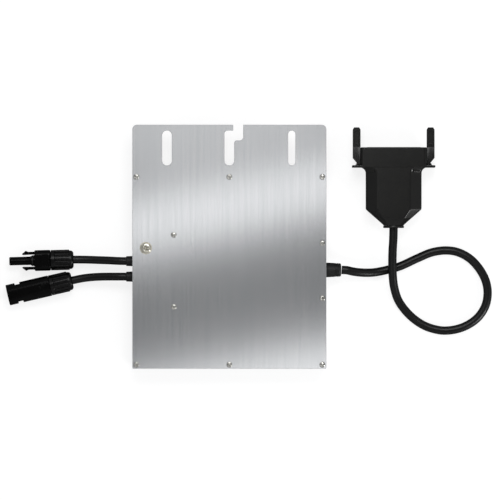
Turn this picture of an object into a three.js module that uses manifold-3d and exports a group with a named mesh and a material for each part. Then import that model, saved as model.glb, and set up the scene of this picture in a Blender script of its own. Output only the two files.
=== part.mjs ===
// A micro inverter: a flat die-cast tub closed by a slotted mounting plate, with two short direct-current
// leads on its left, and one alternating-current lead on its right that ends in a latching connector.
// It lies on its back, so +Z is out of the plate's face, +Y is towards the plate's slots, and the origin
// is on the surface under the middle of the plate. Lengths are in millimetres.
import * as THREE from "three";
import { mergeVertices } from "three/addons/utils/BufferGeometryUtils.js";
import Module from "manifold-3d";

const wasm = await Module();
wasm.setup();

// ---------------------------------------------------------------- driving dimensions
const GAP = 0.3; // between neighbouring pieces that touch
const ARC_STEP = Math.PI / 8; // the most that one facet of an arc turns

const plate = { width: 171, height: 215, thickness: 1.5, face: 30, corner: 4, foot: 0.8 };
const tub = { width: 170, height: 172, rim: 27.7, wall: 2.6, floor: 2.6, corner: 4, edge: 3 };
const gasket = { width: 7.4, thickness: 0.6 };
const slot = { top: 102.3, bottom: 71.7, wide: 8.6, narrow: 6.4, pitch: 55 };
const hook = { left: 3.4, right: 12.2, floor: 93.7 };
const lidScrew = { head: 2.6, rise: 1.4, shank: 1.45, length: 8, clearance: 1.8, pilot: 1.75, boss: 3.6 };
const groundScrew = { head: 4.7, rise: 2.3, shank: 2.4, length: 11, clearance: 2.8, boss: 5.6 };
const groundWasher = { outer: 5.5, inner: 2.75, thickness: 0.8 };
const board = { width: 148, height: 150, thickness: 1.6, base: 7 };
const potting = { base: 2.9, level: 19 };
const leadHeight = 15; // of the direct-current leads' axes where they leave the tub
const mainsHeight = 14; // of the alternating-current lead's axis where it leaves the tub
const dcCable = { radius: 3.35, sides: 8, upper: -12.7, lower: -26.4 };
const acCable = { radius: 3.6, sides: 8, y: -20.5 };
const dcNut = { radius: 9, length: 20, wall: 3, bore: 4.3, cavity: 7.3, ribs: 18, ribDepth: 0.5 };
const spigot = { radius: 6.9, start: 9 };
const acPlug = { x: 145.05, y: 16.5, halfDepth: 13.5 };

const plateBack = plate.face - plate.thickness;
const tubMiddle = -plate.height / 2 + 0.5 + tub.height / 2; // the tub sits flush with the plate's lower edge
const boardTop = board.base + board.thickness;
const sideScrewX = plate.width / 2 - 3.5;
const lidScrewPlaces = [
  [-sideScrewX, 61.5],
  [0, 61.5],
  [sideScrewX, 61.5],
  [sideScrewX, 3],
  [sideScrewX, -45.4],
  [sideScrewX, -104],
  [0, -104],
  [-sideScrewX, -104],
  [-49, 10.4],
  [-49, -53.1],
];
const groundPlace = [-73.6, -1.2];
const lightPipePlace = [-66, -60];

// ---------------------------------------------------------------- finishes
const finish = (color, roughness, metalness) =>
  new THREE.MeshStandardMaterial({ color, roughness, metalness });
const brushedAluminium = finish(0xc3c5c8, 0.32, 1);
const castAluminium = finish(0xa9abae, 0.5, 1);
const nickelSteel = finish(0xb9b5a6, 0.3, 1);
const zincSteel = finish(0x9c9b97, 0.35, 1);
const tinnedCopper = finish(0xc8bfae, 0.3, 1);
const blackNylon = finish(0x141414, 0.45, 0);
const cableJacket = finish(0x0d0d0d, 0.55, 0);
const blackRubber = finish(0x1a1a1a, 0.8, 0);
const boardGreen = finish(0x1d5a35, 0.5, 0);
const ferrite = finish(0x3a3a3c, 0.7, 0);
const enamelledCopper = finish(0xa4552a, 0.35, 0.6);
const capacitorSleeve = finish(0x2a3a6a, 0.4, 0);
const filmYellow = finish(0xc99a2c, 0.45, 0);
const pottingBlack = finish(0x22211f, 0.6, 0);
const clearPipe = finish(0xd8e6d8, 0.1, 0);

// ---------------------------------------------------------------- shapes
// The points of a closed outline. Each corner is [x, y] or [x, y, radius].
function outline(corners) {
  const points = [];
  const at = (i) => corners[(i + corners.length) % corners.length];
  corners.forEach(([x, y, radius = 0], i) => {
    const here = new THREE.Vector2(x, y);
    const into = here.clone().sub(new THREE.Vector2(at(i - 1)[0], at(i - 1)[1])).normalize();
    const out = new THREE.Vector2(at(i + 1)[0], at(i + 1)[1]).sub(here).normalize();
    const angle = Math.atan2(into.cross(out), into.dot(out));
    const reach = radius * Math.tan(Math.abs(angle) / 2);
    const side = Math.sign(angle);
    const start = here.clone().addScaledVector(into, -reach);
    const centre = new THREE.Vector2(start.x - side * radius * into.y, start.y + side * radius * into.x);
    const from = Math.atan2(start.y - centre.y, start.x - centre.x);
    const facets = radius ? Math.max(1, Math.round(Math.abs(angle) / ARC_STEP)) : 0;
    for (let k = 0; k <= facets; k++) {
      const turned = from + (facets ? (angle * k) / facets : 0);
      const point = new THREE.Vector2(Math.cos(turned), Math.sin(turned)).multiplyScalar(radius).add(centre);
      points.push(point);
    }
  });
  return points.filter((p, i) => p.distanceTo(points[(i + 1) % points.length]) > 1e-6);
}

function rectangle(width, height, radius = 0, x = 0, y = 0) {
  const [w, h] = [width / 2, height / 2];
  return outline([
    [x - w, y - h, radius],
    [x + w, y - h, radius],
    [x + w, y + h, radius],
    [x - w, y + h, radius],
  ]);
}

const circle = (radius, x = 0, y = 0) => rectangle(2 * radius, 2 * radius, radius, x, y);

// An outline with holes, drawn up from z = low to z = high.
function slab(points, low, high, holes = []) {
  const shape = new THREE.Shape(points);
  shape.holes = holes.map((hole) => new THREE.Path(hole));
  return new THREE.ExtrudeGeometry(shape, { depth: high - low, bevelEnabled: false }).translate(0, 0, low);
}

// An outline whose two ends are rounded off by edge, from z = low to z = high. The outline is its widest.
function pillow(width, height, corner, edge, low, high, segments = 2) {
  const shape = new THREE.Shape(rectangle(width - 2 * edge, height - 2 * edge, Math.max(corner - edge, 0.1)));
  const bevel = { bevelThickness: edge, bevelSize: edge, bevelSegments: segments };
  const options = { depth: high - low - 2 * edge, ...bevel };
  return new THREE.ExtrudeGeometry(shape, options).translate(0, 0, low + edge);
}

// A turned shape. The profile lists [radius, place along the axis], from the axis back to the axis, or round
// a ring and back to its first point.
function turned(profile, axis, segments = 16) {
  const points = profile.map(([r, along]) => new THREE.Vector2(r, along));
  const geometry = new THREE.LatheGeometry(points, segments);
  if (axis === "x") geometry.rotateZ(-Math.PI / 2);
  if (axis === "z") geometry.rotateX(Math.PI / 2);
  return geometry;
}

const rod = (radius, low, high, axis, segments) =>
  turned([[0, low], [radius, low], [radius, high], [0, high]], axis, segments);

const tubeRing = (inner, outer, low, high, axis, segments) =>
  turned([[inner, low], [outer, low], [outer, high], [inner, high], [inner, low]], axis, segments);

const block = (x0, x1, y0, y1, z0, z1) =>
  new THREE.BoxGeometry(x1 - x0, y1 - y0, z1 - z0).translate((x0 + x1) / 2, (y0 + y1) / 2, (z0 + z1) / 2);

// ---------------------------------------------------------------- joining and cutting
function solid(geometry) {
  const bare = new THREE.BufferGeometry();
  const loose = geometry.index ? geometry.toNonIndexed() : geometry;
  bare.setAttribute("position", loose.getAttribute("position"));
  const merged = mergeVertices(bare, 1e-4);
  const vertProperties = merged.attributes.position.array;
  const triVerts = new Uint32Array(merged.index.array);
  return new wasm.Manifold(new wasm.Mesh({ numProp: 3, vertProperties, triVerts }));
}

const join = (...parts) => parts.map(solid).reduce((whole, part) => whole.add(part));

const cut = (body, ...tools) => tools.reduce((left, tool) => left.subtract(solid(tool)), body);

function shown(body) {
  const mesh = body.getMesh();
  const geometry = new THREE.BufferGeometry();
  const corners = new Float32Array(mesh.numVert * 3);
  for (let i = 0; i < mesh.numVert; i++) {
    corners.set(mesh.vertProperties.subarray(i * mesh.numProp, i * mesh.numProp + 3), i * 3);
  }
  geometry.setAttribute("position", new THREE.BufferAttribute(corners, 3));
  geometry.setIndex(new THREE.BufferAttribute(new Uint32Array(mesh.triVerts), 1));
  return geometry;
}

function piece(parent, name, geometry, material) {
  const mesh = new THREE.Mesh(geometry.isBufferGeometry ? geometry : shown(geometry), material);
  mesh.name = name;
  parent.add(mesh);
  return mesh;
}

// ---------------------------------------------------------------- the mounting plate
function slotOutline(x, width) {
  return rectangle(width, slot.top - slot.bottom, width / 2, x, (slot.top + slot.bottom) / 2);
}

// The middle slot opens upwards through a hook-shaped mouth, so the plate drops over a fitted bolt.
function plateOutline() {
  const [w, h] = [plate.width / 2, plate.height / 2];
  const half = slot.wide / 2;
  return outline([
    [-w, -h, plate.foot],
    [w, -h, plate.foot],
    [w, h, plate.corner],
    [hook.right, h, 0.6],
    [hook.right, hook.floor, 3.2],
    [half, hook.floor, 2],
    [half, slot.bottom, half],
    [-half, slot.bottom, half],
    [-half, slot.top, 2.8],
    [hook.left, slot.top, 0.6],
    [hook.left, h, 0.6],
    [-w, h, plate.corner],
  ]);
}

function mountingPlate() {
  const holes = [slotOutline(-slot.pitch, slot.wide), slotOutline(slot.pitch, slot.narrow)];
  lidScrewPlaces.forEach(([x, y]) => holes.push(circle(lidScrew.clearance, x, y)));
  holes.push(circle(groundScrew.clearance, ...groundPlace));
  return slab(plateOutline(), plateBack, plate.face, holes);
}

// ---------------------------------------------------------------- the die-cast tub and its gasket
const bosses = () => [
  ...lidScrewPlaces.map(([x, y]) => ({ x, y, radius: lidScrew.boss, drill: lidScrew.pilot })),
  { x: groundPlace[0], y: groundPlace[1], radius: groundScrew.boss, drill: groundScrew.shank + GAP },
];

function bossRod(boss, extra, low, high) {
  return rod(boss.radius + extra, low, high, "z", 12).translate(boss.x, boss.y, 0);
}

function tubOuter(shrink, low, high) {
  const width = tub.width - 2 * shrink;
  const height = tub.height - 2 * shrink;
  return pillow(width, height, tub.corner, tub.edge, low, high).translate(0, tubMiddle, 0);
}

function coolingGrooves() {
  const grooves = [];
  for (let k = -3; k <= 3; k++) {
    grooves.push(slab(rectangle(9, 116, 4.5, k * 19, tubMiddle), -1, 0.9));
  }
  return grooves;
}

function enclosureTub() {
  const over = tub.rim + tub.edge + 1;
  const above = block(-100, 100, -120, 80, tub.rim, over + 5);
  const shell = cut(solid(tubOuter(0, 0, over)), above, tubOuter(tub.wall, tub.floor, over));
  const outside = solid(tubOuter(0, 0, over));
  const pillars = bosses().map((boss) => solid(bossRod(boss, 0, tub.floor - 0.5, tub.rim)));
  const cast = pillars.reduce((whole, pillar) => whole.add(pillar.intersect(outside)), shell);
  const drills = bosses().map((boss) =>
    rod(boss.drill, tub.rim - 12, tub.rim + 1, "z", 10).translate(boss.x, boss.y, 0));
  const wallLeft = -tub.width / 2;
  const outlets = [dcCable.upper, dcCable.lower].map((y) =>
    rod(dcGland.neck + GAP, wallLeft - 1, wallLeft + 5, "x").translate(0, y, leadHeight));
  const mainsOutlet = rod(acGland.neck + GAP, -wallLeft - 5, -wallLeft + 1, "x");
  outlets.push(mainsOutlet.translate(0, acCable.y, mainsHeight));
  const pipeHole = rod(2.3, -1, tub.floor + 1, "z", 10).translate(...lightPipePlace, 0);
  return cut(cast, ...drills, ...outlets, pipeHole, ...coolingGrooves());
}

function lidGasket() {
  const base = tub.rim + 0.1;
  const { width, thickness } = gasket;
  const opening = rectangle(tub.width - 2 * width, tub.height - 2 * width, 1, 0, tubMiddle);
  const rimScrews = lidScrewPlaces.slice(0, 8).map(([x, y]) => circle(lidScrew.clearance, x, y));
  const border = rectangle(tub.width - 1, tub.height - 1, tub.corner - 1, 0, tubMiddle);
  return slab(border, base, base + thickness, [opening, ...rimScrews]);
}

// ---------------------------------------------------------------- screws and the earth terminal
function panScrew(size, foot, seat) {
  const { head, rise, shank, length } = size;
  const body = turned(
    [
      [0, foot - length],
      [shank, foot - length + 0.6],
      [shank, seat],
      [head, seat],
      [head, seat + rise * 0.45],
      [head * 0.72, seat + rise],
      [0, seat + rise],
    ],
    "z",
    12,
  );
  const recess = slab(rectangle(head * 0.8, head * 0.8, 0), seat + rise * 0.45, seat + rise + 1);
  const socket = recess.rotateZ(Math.PI / 4);
  return cut(solid(body), socket);
}

function placedScrew(parent, name, size, place, seat, material) {
  const screw = piece(parent, name, panScrew(size, 0, 0), material);
  screw.position.set(place[0], place[1], seat);
}

function screws(parent) {
  lidScrewPlaces.forEach((place, i) => {
    placedScrew(parent, `lid_screw_${i + 1}`, lidScrew, place, plate.face + 0.05, zincSteel);
  });
  const seat = plate.face + 0.05 + groundWasher.thickness;
  placedScrew(parent, "ground_screw", groundScrew, groundPlace, seat + 0.05, nickelSteel);
  const { inner, outer } = groundWasher;
  const ring = tubeRing(inner, outer, 0, groundWasher.thickness, "z");
  const washer = piece(parent, "ground_washer", ring, nickelSteel);
  washer.position.set(groundPlace[0], groundPlace[1], plate.face + 0.05);
}

// ---------------------------------------------------------------- moulded strain reliefs
const dcGland = { boot: 4.5, tip: 4.2, reach: 6, neck: 3.7, flange: 5.3, inside: 2.2 };
const acGland = { boot: 6.5, tip: 5.9, reach: 13.7, neck: 5.2, flange: 7.2, inside: 2.6 };

// Turned about +X, with the tub's outer wall at 0 and the lead leaving towards +X.
function gland(size) {
  const { boot, tip, reach, neck, flange, inside } = size;
  const inner = -tub.wall - GAP;
  return turned(
    [
      [0, inner - inside],
      [flange, inner - inside],
      [flange, inner],
      [neck, inner],
      [neck, GAP],
      [boot, GAP],
      [tip, reach - 1],
      [tip - 1, reach],
      [0, reach],
    ],
    "x",
    20,
  );
}

function strainReliefs(parent) {
  const wall = tub.width / 2;
  const names = ["dc_strain_relief_upper", "dc_strain_relief_lower"];
  [dcCable.upper, dcCable.lower].forEach((y, i) => {
    const relief = piece(parent, names[i], gland(dcGland), blackRubber);
    relief.position.set(-wall, y, leadHeight);
    relief.rotation.z = Math.PI;
  });
  const mains = piece(parent, "ac_strain_relief", gland(acGland), blackRubber);
  mains.position.set(wall, acCable.y, mainsHeight);
}

// ---------------------------------------------------------------- the electronics
// Each function draws one component, grown by extra all round so that the potting can be cut with it.
const transformer = { width: 34, depth: 28, height: 16, yoke: 3.2, leg: 6, window: 13, bulge: 5.5 };
const transformerPlaces = [[-6, -8], [40, -8]];
const capacitor = { radius: 8, height: 18 };
const capacitorPlaces = [-58, -39, -20, -1].map((x) => [x, -84]);
const choke = { inner: 6, outer: 14, height: 13, x: 56, y: -70 };
const film = { width: 27, depth: 11, height: 17, x: 24, y: -68 };
const spreader = { x0: -36, x1: 66, y0: 42, y1: 52, height: 16, foot: 2.4 };
const transistorPlaces = [-18, 14, 46];
const signal = { width: 46, thickness: 1.6, height: 15, x: -12, y: -52 };

function boardShape(extra = 0) {
  const outer = rectangle(board.width + 2 * extra, board.height + 2 * extra, 2, 0, tubMiddle);
  const body = solid(slab(outer, board.base - extra, boardTop + extra));
  return cut(body, ...bosses().map((boss) => bossRod(boss, 0.8 - extra, 0, 20)));
}

function transformerCore([x, y], extra = 0) {
  const { width, depth, height, yoke, leg, window } = transformer;
  const base = boardTop + GAP;
  const [halfX, halfY] = [width / 2 + extra, depth / 2 + extra];
  const body = block(-halfX, halfX, -halfY, halfY, base - extra, base + height + extra);
  const windows = [-1, 1].map((side) => {
    const [near, far] = [side * leg, side * window].sort((a, b) => a - b);
    return block(near + extra, far - extra, -depth, depth, base + yoke + extra, base + height - yoke - extra);
  });
  return cut(solid(body.translate(x, y, 0)), ...windows.map((hole) => hole.translate(x, y, 0)));
}

function transformerWinding([x, y], extra = 0) {
  const { depth, height, yoke, leg, window, bulge } = transformer;
  const base = boardTop + GAP;
  const slack = GAP - extra;
  const outer = rectangle(2 * (window - slack), depth + 2 * (bulge + extra), 5, x, y);
  const inner = rectangle(2 * (leg + slack), depth + 2 * slack, 1, x, y);
  return solid(slab(outer, base + yoke + slack, base + height - yoke - slack, [inner]));
}

function capacitorCan([x, y], extra = 0) {
  const { radius, height } = capacitor;
  const base = boardTop + GAP;
  const [r, low, high] = [radius + extra, base - extra, base + height + extra];
  const can = turned(
    [[0, low], [r, low], [r, low + 2], [r - 0.5, low + 2.6], [r, low + 3.2], [r, high - 0.6],
      [r - 0.6, high], [0, high]],
    "z",
    14,
  );
  return solid(can.translate(x, y, 0));
}

function chokeRing(extra = 0) {
  const { inner, outer, height, x, y } = choke;
  const base = boardTop + GAP;
  const [low, high, round] = [base - extra, base + height + extra, 2];
  const [r0, r1] = [inner - extra, outer + extra];
  const ring = turned(
    [[r0 + round, low], [r1 - round, low], [r1, low + round], [r1, high - round], [r1 - round, high],
      [r0 + round, high],
      [r0, high - round], [r0, low + round], [r0 + round, low]],
    "z",
    16,
  );
  return solid(ring.translate(x, y, 0));
}

function filmBlock(extra = 0) {
  const { width, depth, height, x, y } = film;
  const base = boardTop + GAP;
  const loop = rectangle(width + 2 * extra, depth + 2 * extra, 1.5, x, y);
  return solid(slab(loop, base - extra, base + height + extra));
}

function heatSpreader(extra = 0) {
  const { x0, x1, y0, y1, height, foot } = spreader;
  const base = boardTop + GAP;
  const shelf = block(x0 - extra, x1 + extra, y0 - extra, y1 + extra, base - extra, base + foot + extra);
  const [low, high] = [base - extra, base + height + extra];
  const fence = block(x0 - extra, x1 + extra, y0 - extra, y0 + 2.4 + extra, low, high);
  return join(shelf, fence);
}

function transistor(x, extra = 0) {
  const base = boardTop + GAP;
  const back = spreader.y0 - GAP;
  const half = 7.8 + extra;
  return solid(block(x - half, x + half, back - 4.8 - extra, back + extra, base - extra, base + 15 + extra));
}

function signalBoard(extra = 0) {
  const { width, thickness, height, x, y } = signal;
  const base = boardTop + GAP;
  const [w, t] = [width / 2 + extra, thickness / 2 + extra];
  const body = solid(block(x - w, x + w, y - t, y + t, base - extra, base + height + extra));
  const half = 9 + extra;
  const [front, back] = [y + t - extra, y + t + 4 + extra];
  const parts = block(x - half, x + half, front, back, base + 4 - extra, base + 12 + extra);
  return body.add(solid(parts));
}

function lightPipe(extra = 0) {
  const pipe = rod(2 + extra, 0.2 - extra, board.base - GAP + extra, "z", 10);
  return solid(pipe.translate(...lightPipePlace, 0));
}

function pottingCompound() {
  const { base, level } = potting;
  const rounded = tubOuter(tub.wall + GAP, base, level + tub.edge + 2);
  const above = block(-100, 100, -120, 80, level, level + 10);
  const fill = cut(solid(rounded), above, ...bosses().map((boss) => bossRod(boss, GAP, 0, 30)));
  const wall = tub.width / 2 - tub.wall;
  const ends = [dcCable.upper, dcCable.lower].map((y) =>
    rod(dcGland.flange + GAP, -wall - 1, -wall + dcGland.inside + 2 * GAP, "x").translate(0, y, leadHeight));
  const mainsEnd = rod(acGland.flange + GAP, wall - acGland.inside - 2 * GAP, wall + 1, "x");
  ends.push(mainsEnd.translate(0, acCable.y, mainsHeight));
  const parts = [
    boardShape(GAP),
    ...transformerPlaces.flatMap((place) => [transformerCore(place, GAP), transformerWinding(place, GAP)]),
    ...capacitorPlaces.map((place) => capacitorCan(place, GAP)),
    chokeRing(GAP),
    solid(rod(choke.inner + 2, boardTop, level + 1, "z").translate(choke.x, choke.y, 0)),
    filmBlock(GAP),
    heatSpreader(GAP),
    ...transistorPlaces.map((x) => transistor(x, GAP)),
    signalBoard(GAP),
    lightPipe(GAP),
  ];
  return parts.reduce((left, part) => left.subtract(part), cut(fill, ...ends));
}

function electronics(parent) {
  piece(parent, "main_circuit_board", boardShape(), boardGreen);
  transformerPlaces.forEach((place, i) => {
    piece(parent, `transformer_${i + 1}_core`, transformerCore(place), ferrite);
    piece(parent, `transformer_${i + 1}_winding`, transformerWinding(place), enamelledCopper);
  });
  capacitorPlaces.forEach((place, i) => {
    piece(parent, `bulk_capacitor_${i + 1}`, capacitorCan(place), capacitorSleeve);
  });
  piece(parent, "line_choke", chokeRing(), enamelledCopper);
  piece(parent, "film_capacitor", filmBlock(), filmYellow);
  piece(parent, "heat_spreader", heatSpreader(), castAluminium);
  transistorPlaces.forEach((x, i) => piece(parent, `power_transistor_${i + 1}`, transistor(x), blackNylon));
  piece(parent, "signal_board", signalBoard(), boardGreen);
  piece(parent, "status_light_pipe", lightPipe(), clearPipe);
  piece(parent, "potting_compound", pottingCompound(), pottingBlack);
}

// ---------------------------------------------------------------- direct-current connectors
// Both are drawn along +X, from the rear of the union nut at 0 to the mating end.
const dcPlug = { x: -137.8, y: -11.4, tilt: 1.5, bodyEnd: 34.4, collar: 37.8, tip: 56.7, nose: 3.7 };
const dcSocket = { x: -139, y: -29.8, tilt: 13, window: [45.9, 50.5], mouth: 58.4, pinTip: 45 };
const dcBody = { start: 20.7, width: 18.4, depth: 15 };
const dcArm = { inner: 5.5, outer: 7.8, barb: 8.7, pivot: 31.5, tip: 45, width: 5.6 };

function placeOnLead(parent, name, at) {
  const group = new THREE.Group();
  group.name = name;
  group.position.set(at.x, at.y, dcNut.radius);
  group.rotation.z = Math.PI + THREE.MathUtils.degToRad(at.tilt);
  parent.add(group);
  return group;
}

// A cup that screws over the housing's spigot. Shallow grips run along the middle of its length.
function unionNut() {
  const { radius, length, wall, bore, cavity, ribs, ribDepth } = dcNut;
  const geometry = turned(
    [
      [bore, 0],
      [radius - 3, 0],
      [radius - 0.9, 0.9],
      [radius, 3],
      [radius - 0.01, 3.2],
      [radius - 0.01, 13.4],
      [radius, 13.6],
      [radius, length],
      [cavity, length],
      [cavity, wall],
      [bore, wall],
      [bore, 0],
    ],
    "x",
    2 * ribs,
  );
  const place = geometry.getAttribute("position");
  for (let i = 0; i < place.count; i++) {
    const [x, y, z] = [place.getX(i), place.getY(i), place.getZ(i)];
    const inGrip = x > 3.1 && x < 13.5 && Math.hypot(y, z) > radius - 0.5;
    const column = Math.round((Math.atan2(z, y) / Math.PI) * ribs);
    if (inGrip && Math.abs(column) % 2) {
      const share = (radius - ribDepth) / radius;
      place.setXYZ(i, x, y * share, z * share);
    }
  }
  return geometry;
}

// A split ring inside the nut that grips the lead. It slides with the nut.
function clampRing() {
  const { cavity, wall } = dcNut;
  const low = wall + GAP;
  const high = spigot.start - GAP;
  return turned(
    [
      [dcCable.radius + 0.35, low],
      [cavity - 1.2, low],
      [cavity - 0.5, low + 1.5],
      [cavity - 0.5, high],
      [dcCable.radius + 0.35, high],
      [dcCable.radius + 0.35, low],
    ],
    "x",
    12,
  );
}

function nutAndClamp(group, name) {
  piece(group, `${name}_nut`, unionNut(), blackNylon);
  piece(group, `${name}_clamp_ring`, clampRing(), blackNylon);
}

const alongX = (geometry) => geometry.rotateX(Math.PI / 2).rotateZ(Math.PI / 2);

// The housing's cross-section is a rounded rectangle, wider in Y, where the latches are.
function housingBlock(low, high, width = dcBody.width, depth = dcBody.depth, radius = 5) {
  return alongX(slab(rectangle(width, depth, radius), low, high));
}

const housingSpigot = () => rod(spigot.radius, spigot.start, dcBody.start + 1, "x");

function plugHousing() {
  const { bodyEnd, collar, tip, nose } = dcPlug;
  const front = turned(
    [[0, bodyEnd - 1], [4.4, bodyEnd - 1], [4.4, collar], [nose, collar + 0.4], [nose, tip - 0.6],
      [nose - 0.6, tip], [0, tip]],
    "x",
    14,
  );
  const seat = tubeRing(3.9, 6, collar - 2.4, collar - 0.8, "x", 14);
  const shoulder = housingBlock(bodyEnd - 1.4, bodyEnd, dcBody.width - 2.4, dcBody.depth - 2, 4);
  const whole = join(housingSpigot(), housingBlock(dcBody.start, bodyEnd - 1.2), shoulder, front);
  const pockets = [-1, 1].map((side) => {
    const [low, high] = [side * (dcArm.inner - 1), side * (dcArm.outer + 0.5)].sort((a, b) => a - b);
    return block(dcArm.pivot - 2.2, bodyEnd + 2, low, high, -dcArm.width / 2 - GAP, dcArm.width / 2 + GAP);
  });
  const bore = rod(2.9, spigot.start + 6, tip + 1, "x", 12);
  const mouth = rod(4.8, spigot.start - 1, spigot.start + 7, "x", 12);
  return cut(whole, seat, ...pockets, bore, mouth);
}

// A springy arm with a barb near its tip, for the side where y is positive.
function plugLatch() {
  const { inner, outer, barb, pivot, tip, width } = dcArm;
  const points = outline([
    [pivot - 1.8, inner + 0.4],
    [tip - 1, inner],
    [tip, inner + 0.5],
    [tip - 3.4, barb, 0.3],
    [tip - 5.2, outer - 0.1],
    [pivot - 1.8, outer],
  ]);
  return slab(points, -width / 2, width / 2);
}

function plugSeal() {
  const { collar } = dcPlug;
  return tubeRing(4.1, 4.9, collar - 2.1, collar - 1.1, "x", 14);
}

const plugContact = () => tubeRing(2.05, 2.6, 24, dcPlug.tip - 1.2, "x", 12);

function socketHousing() {
  const { window, mouth } = dcSocket;
  const barrel = housingBlock(dcBody.start, mouth, dcBody.width, 16.5, 7);
  const whole = join(housingSpigot(), barrel);
  const bore = rod(4.1, 33, mouth + 1, "x", 14);
  const lead = rod(5.1, mouth - 7.5, mouth + 1, "x", 14);
  const rear = rod(2.9, spigot.start + 6, 34, "x", 12);
  const entry = rod(4.8, spigot.start - 1, spigot.start + 7, "x", 12);
  const channels = [-1, 1].flatMap((side) => {
    const [low, high] = [side * 5.2, side * 8.3].sort((a, b) => a - b);
    const [notchLow, notchHigh] = [side * 7.2, side * 11].sort((a, b) => a - b);
    return [
      block(window[0] - 2, mouth + 1, low, high, -3.2, 3.2),
      block(window[0], window[1], notchLow, notchHigh, -10, 10),
    ];
  });
  return cut(whole, bore, lead, rear, entry, ...channels);
}

function socketPin() {
  const { pinTip } = dcSocket;
  const profile = [[0, 24], [2.6, 24], [2.6, 31], [2, 31.6], [2, pinTip - 1], [1, pinTip], [0, pinTip]];
  return turned(profile, "x", 12);
}

function dcConnectors(parent) {
  const plug = placeOnLead(parent, "dc_plug", dcPlug);
  nutAndClamp(plug, "dc_plug");
  piece(plug, "dc_plug_housing", plugHousing(), blackNylon);
  piece(plug, "dc_plug_latch_lower", plugLatch(), blackNylon);
  const upper = piece(plug, "dc_plug_latch_upper", plugLatch(), blackNylon);
  upper.rotation.x = Math.PI;
  piece(plug, "dc_plug_seal_ring", plugSeal(), blackRubber);
  piece(plug, "dc_plug_contact", plugContact(), tinnedCopper);

  const socket = placeOnLead(parent, "dc_socket", dcSocket);
  nutAndClamp(socket, "dc_socket");
  piece(socket, "dc_socket_housing", socketHousing(), blackNylon);
  piece(socket, "dc_socket_pin", socketPin(), tinnedCopper);
}

// ---------------------------------------------------------------- the alternating-current connector
// Drawn from the lead's collar at y = 0 up to the mating face, centred on x = 0 and z = 0.
const acShell = {
  collar: 2.2,
  throat: 8.9,
  ledge: 8,
  shoulder: 16.5,
  half: 24.6,
  panel: 14.5,
  cheek: 7.5,
  flange: 53.4,
  deck: 55.4,
  wing: 36.8,
};
const acHead = { half: 29, shoulder: 70.4, crown: 71.4 };
const acCavity = { half: 22, deep: 9, carrier: 50, floor: 60 };
const acLatch = { inner: 29.3, outer: 36, neck: 32.5, foot: 55.7, tip: 88.8, depth: 10, tine: 8 };
const acPins = [-15, -5, 5, 15];

function connectorBody() {
  const { collar, throat, shoulder, half, flange, deck, wing } = acShell;
  const deep = acPlug.halfDepth;
  const mirrored = (right) => [...right, ...right.slice().reverse().map(([x, y, r]) => [-x, y, r])];
  const body = slab(outline(mirrored([
    [throat, collar + GAP],
    [half, shoulder, 3],
    [half, flange, 3.6],
    [wing, flange, 0.4],
    [wing, deck, 0.9],
    [acHead.half, deck, 0.6],
    [acHead.half, acHead.shoulder, 0.8],
    [half + 1, acHead.shoulder],
    [half - 2, acHead.crown],
  ])), -deep, deep);
  // The same body seen from its side, which narrows towards the lead.
  const side = slab(outline([
    [-9, collar],
    [9, collar],
    [deep, acShell.ledge, 2],
    [deep, acHead.crown + 1],
    [-deep, acHead.crown + 1],
    [-deep, acShell.ledge, 2],
  ]), -60, 60).rotateY(Math.PI / 2);
  const { panel, cheek } = acShell;
  const rightSide = [[panel, -deep, 3], [half, -cheek, 3], [half, cheek, 3], [panel, deep, 3]];
  const section = outline(mirrored(rightSide));
  const softened = slab(section, 0, flange + 1).rotateX(-Math.PI / 2);
  const headBlock = block(-wing - 1, wing + 1, flange, acHead.crown + 1, -deep, deep);
  const neck = block(-half - 5, half + 5, flange - 4, flange + 1, -deep + 3, deep - 3);
  const envelope = join(softened, headBlock, neck);
  const { half: cavityHalf, deep: cavityDeep, carrier } = acCavity;
  const cavity = block(-cavityHalf, cavityHalf, carrier - GAP, acHead.crown + 2, -cavityDeep, cavityDeep);
  return cut(solid(body).intersect(solid(side)).intersect(envelope), cavity);
}

function contactCarrier() {
  const { half, deep, carrier, floor } = acCavity;
  const body = solid(block(-half + GAP, half - GAP, carrier, floor, -deep + GAP, deep - GAP));
  return cut(body, ...acPins.map((x) => rod(1.5 + GAP, carrier - 1, floor + 1, "y", 10).translate(x, 0, 0)));
}

function contactPin(x) {
  const low = acCavity.carrier + 0.2;
  return turned([[0, low], [1.5, low], [1.5, 68], [0.8, 69], [0, 69]], "y", 10).translate(x, 0, 0);
}

function faceSeal() {
  const { half, deep, floor } = acCavity;
  const outer = rectangle(2 * half - 1, 2 * deep - 1, 3);
  const inner = rectangle(2 * half - 5, 2 * deep - 5, 2);
  return slab(outer, 0, 2, [inner]).rotateX(-Math.PI / 2).translate(0, floor + GAP, 0);
}

// The lever on the side where x is positive: a thin neck, a cheek beside the head, and a tapered tine.
function sideLatch() {
  const { inner, outer, neck, foot, tip, depth, tine } = acLatch;
  const points = outline([
    [inner + 0.4, foot],
    [neck, foot],
    [neck, foot + 1.8, 0.5],
    [outer, foot + 6.2, 0.5],
    [outer, tip - 2],
    [outer - 1.2, tip],
    [inner + 1.2, tip],
    [inner, tip - 2],
    [inner, foot + 1],
  ]);
  const body = solid(slab(points, -depth / 2, depth / 2));
  const slim = [-1, 1].map((side) => {
    const [low, high] = [(side * tine) / 2, side * depth].sort((a, b) => a - b);
    return block(inner - 1, outer + 1, acHead.shoulder + 1, tip + 1, low, high);
  });
  const middle = (inner + outer) / 2;
  const panel = block(middle - 1.9, middle + 1.9, acHead.shoulder + 4, tip - 3, tine / 2 - 0.8, tine);
  const { shoulder } = acHead;
  const catchHole = block(middle - 1.6, middle + 1.6, shoulder + 1.4, shoulder + 3.4, -depth, depth);
  return cut(body, ...slim, panel, catchHole);
}

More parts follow.
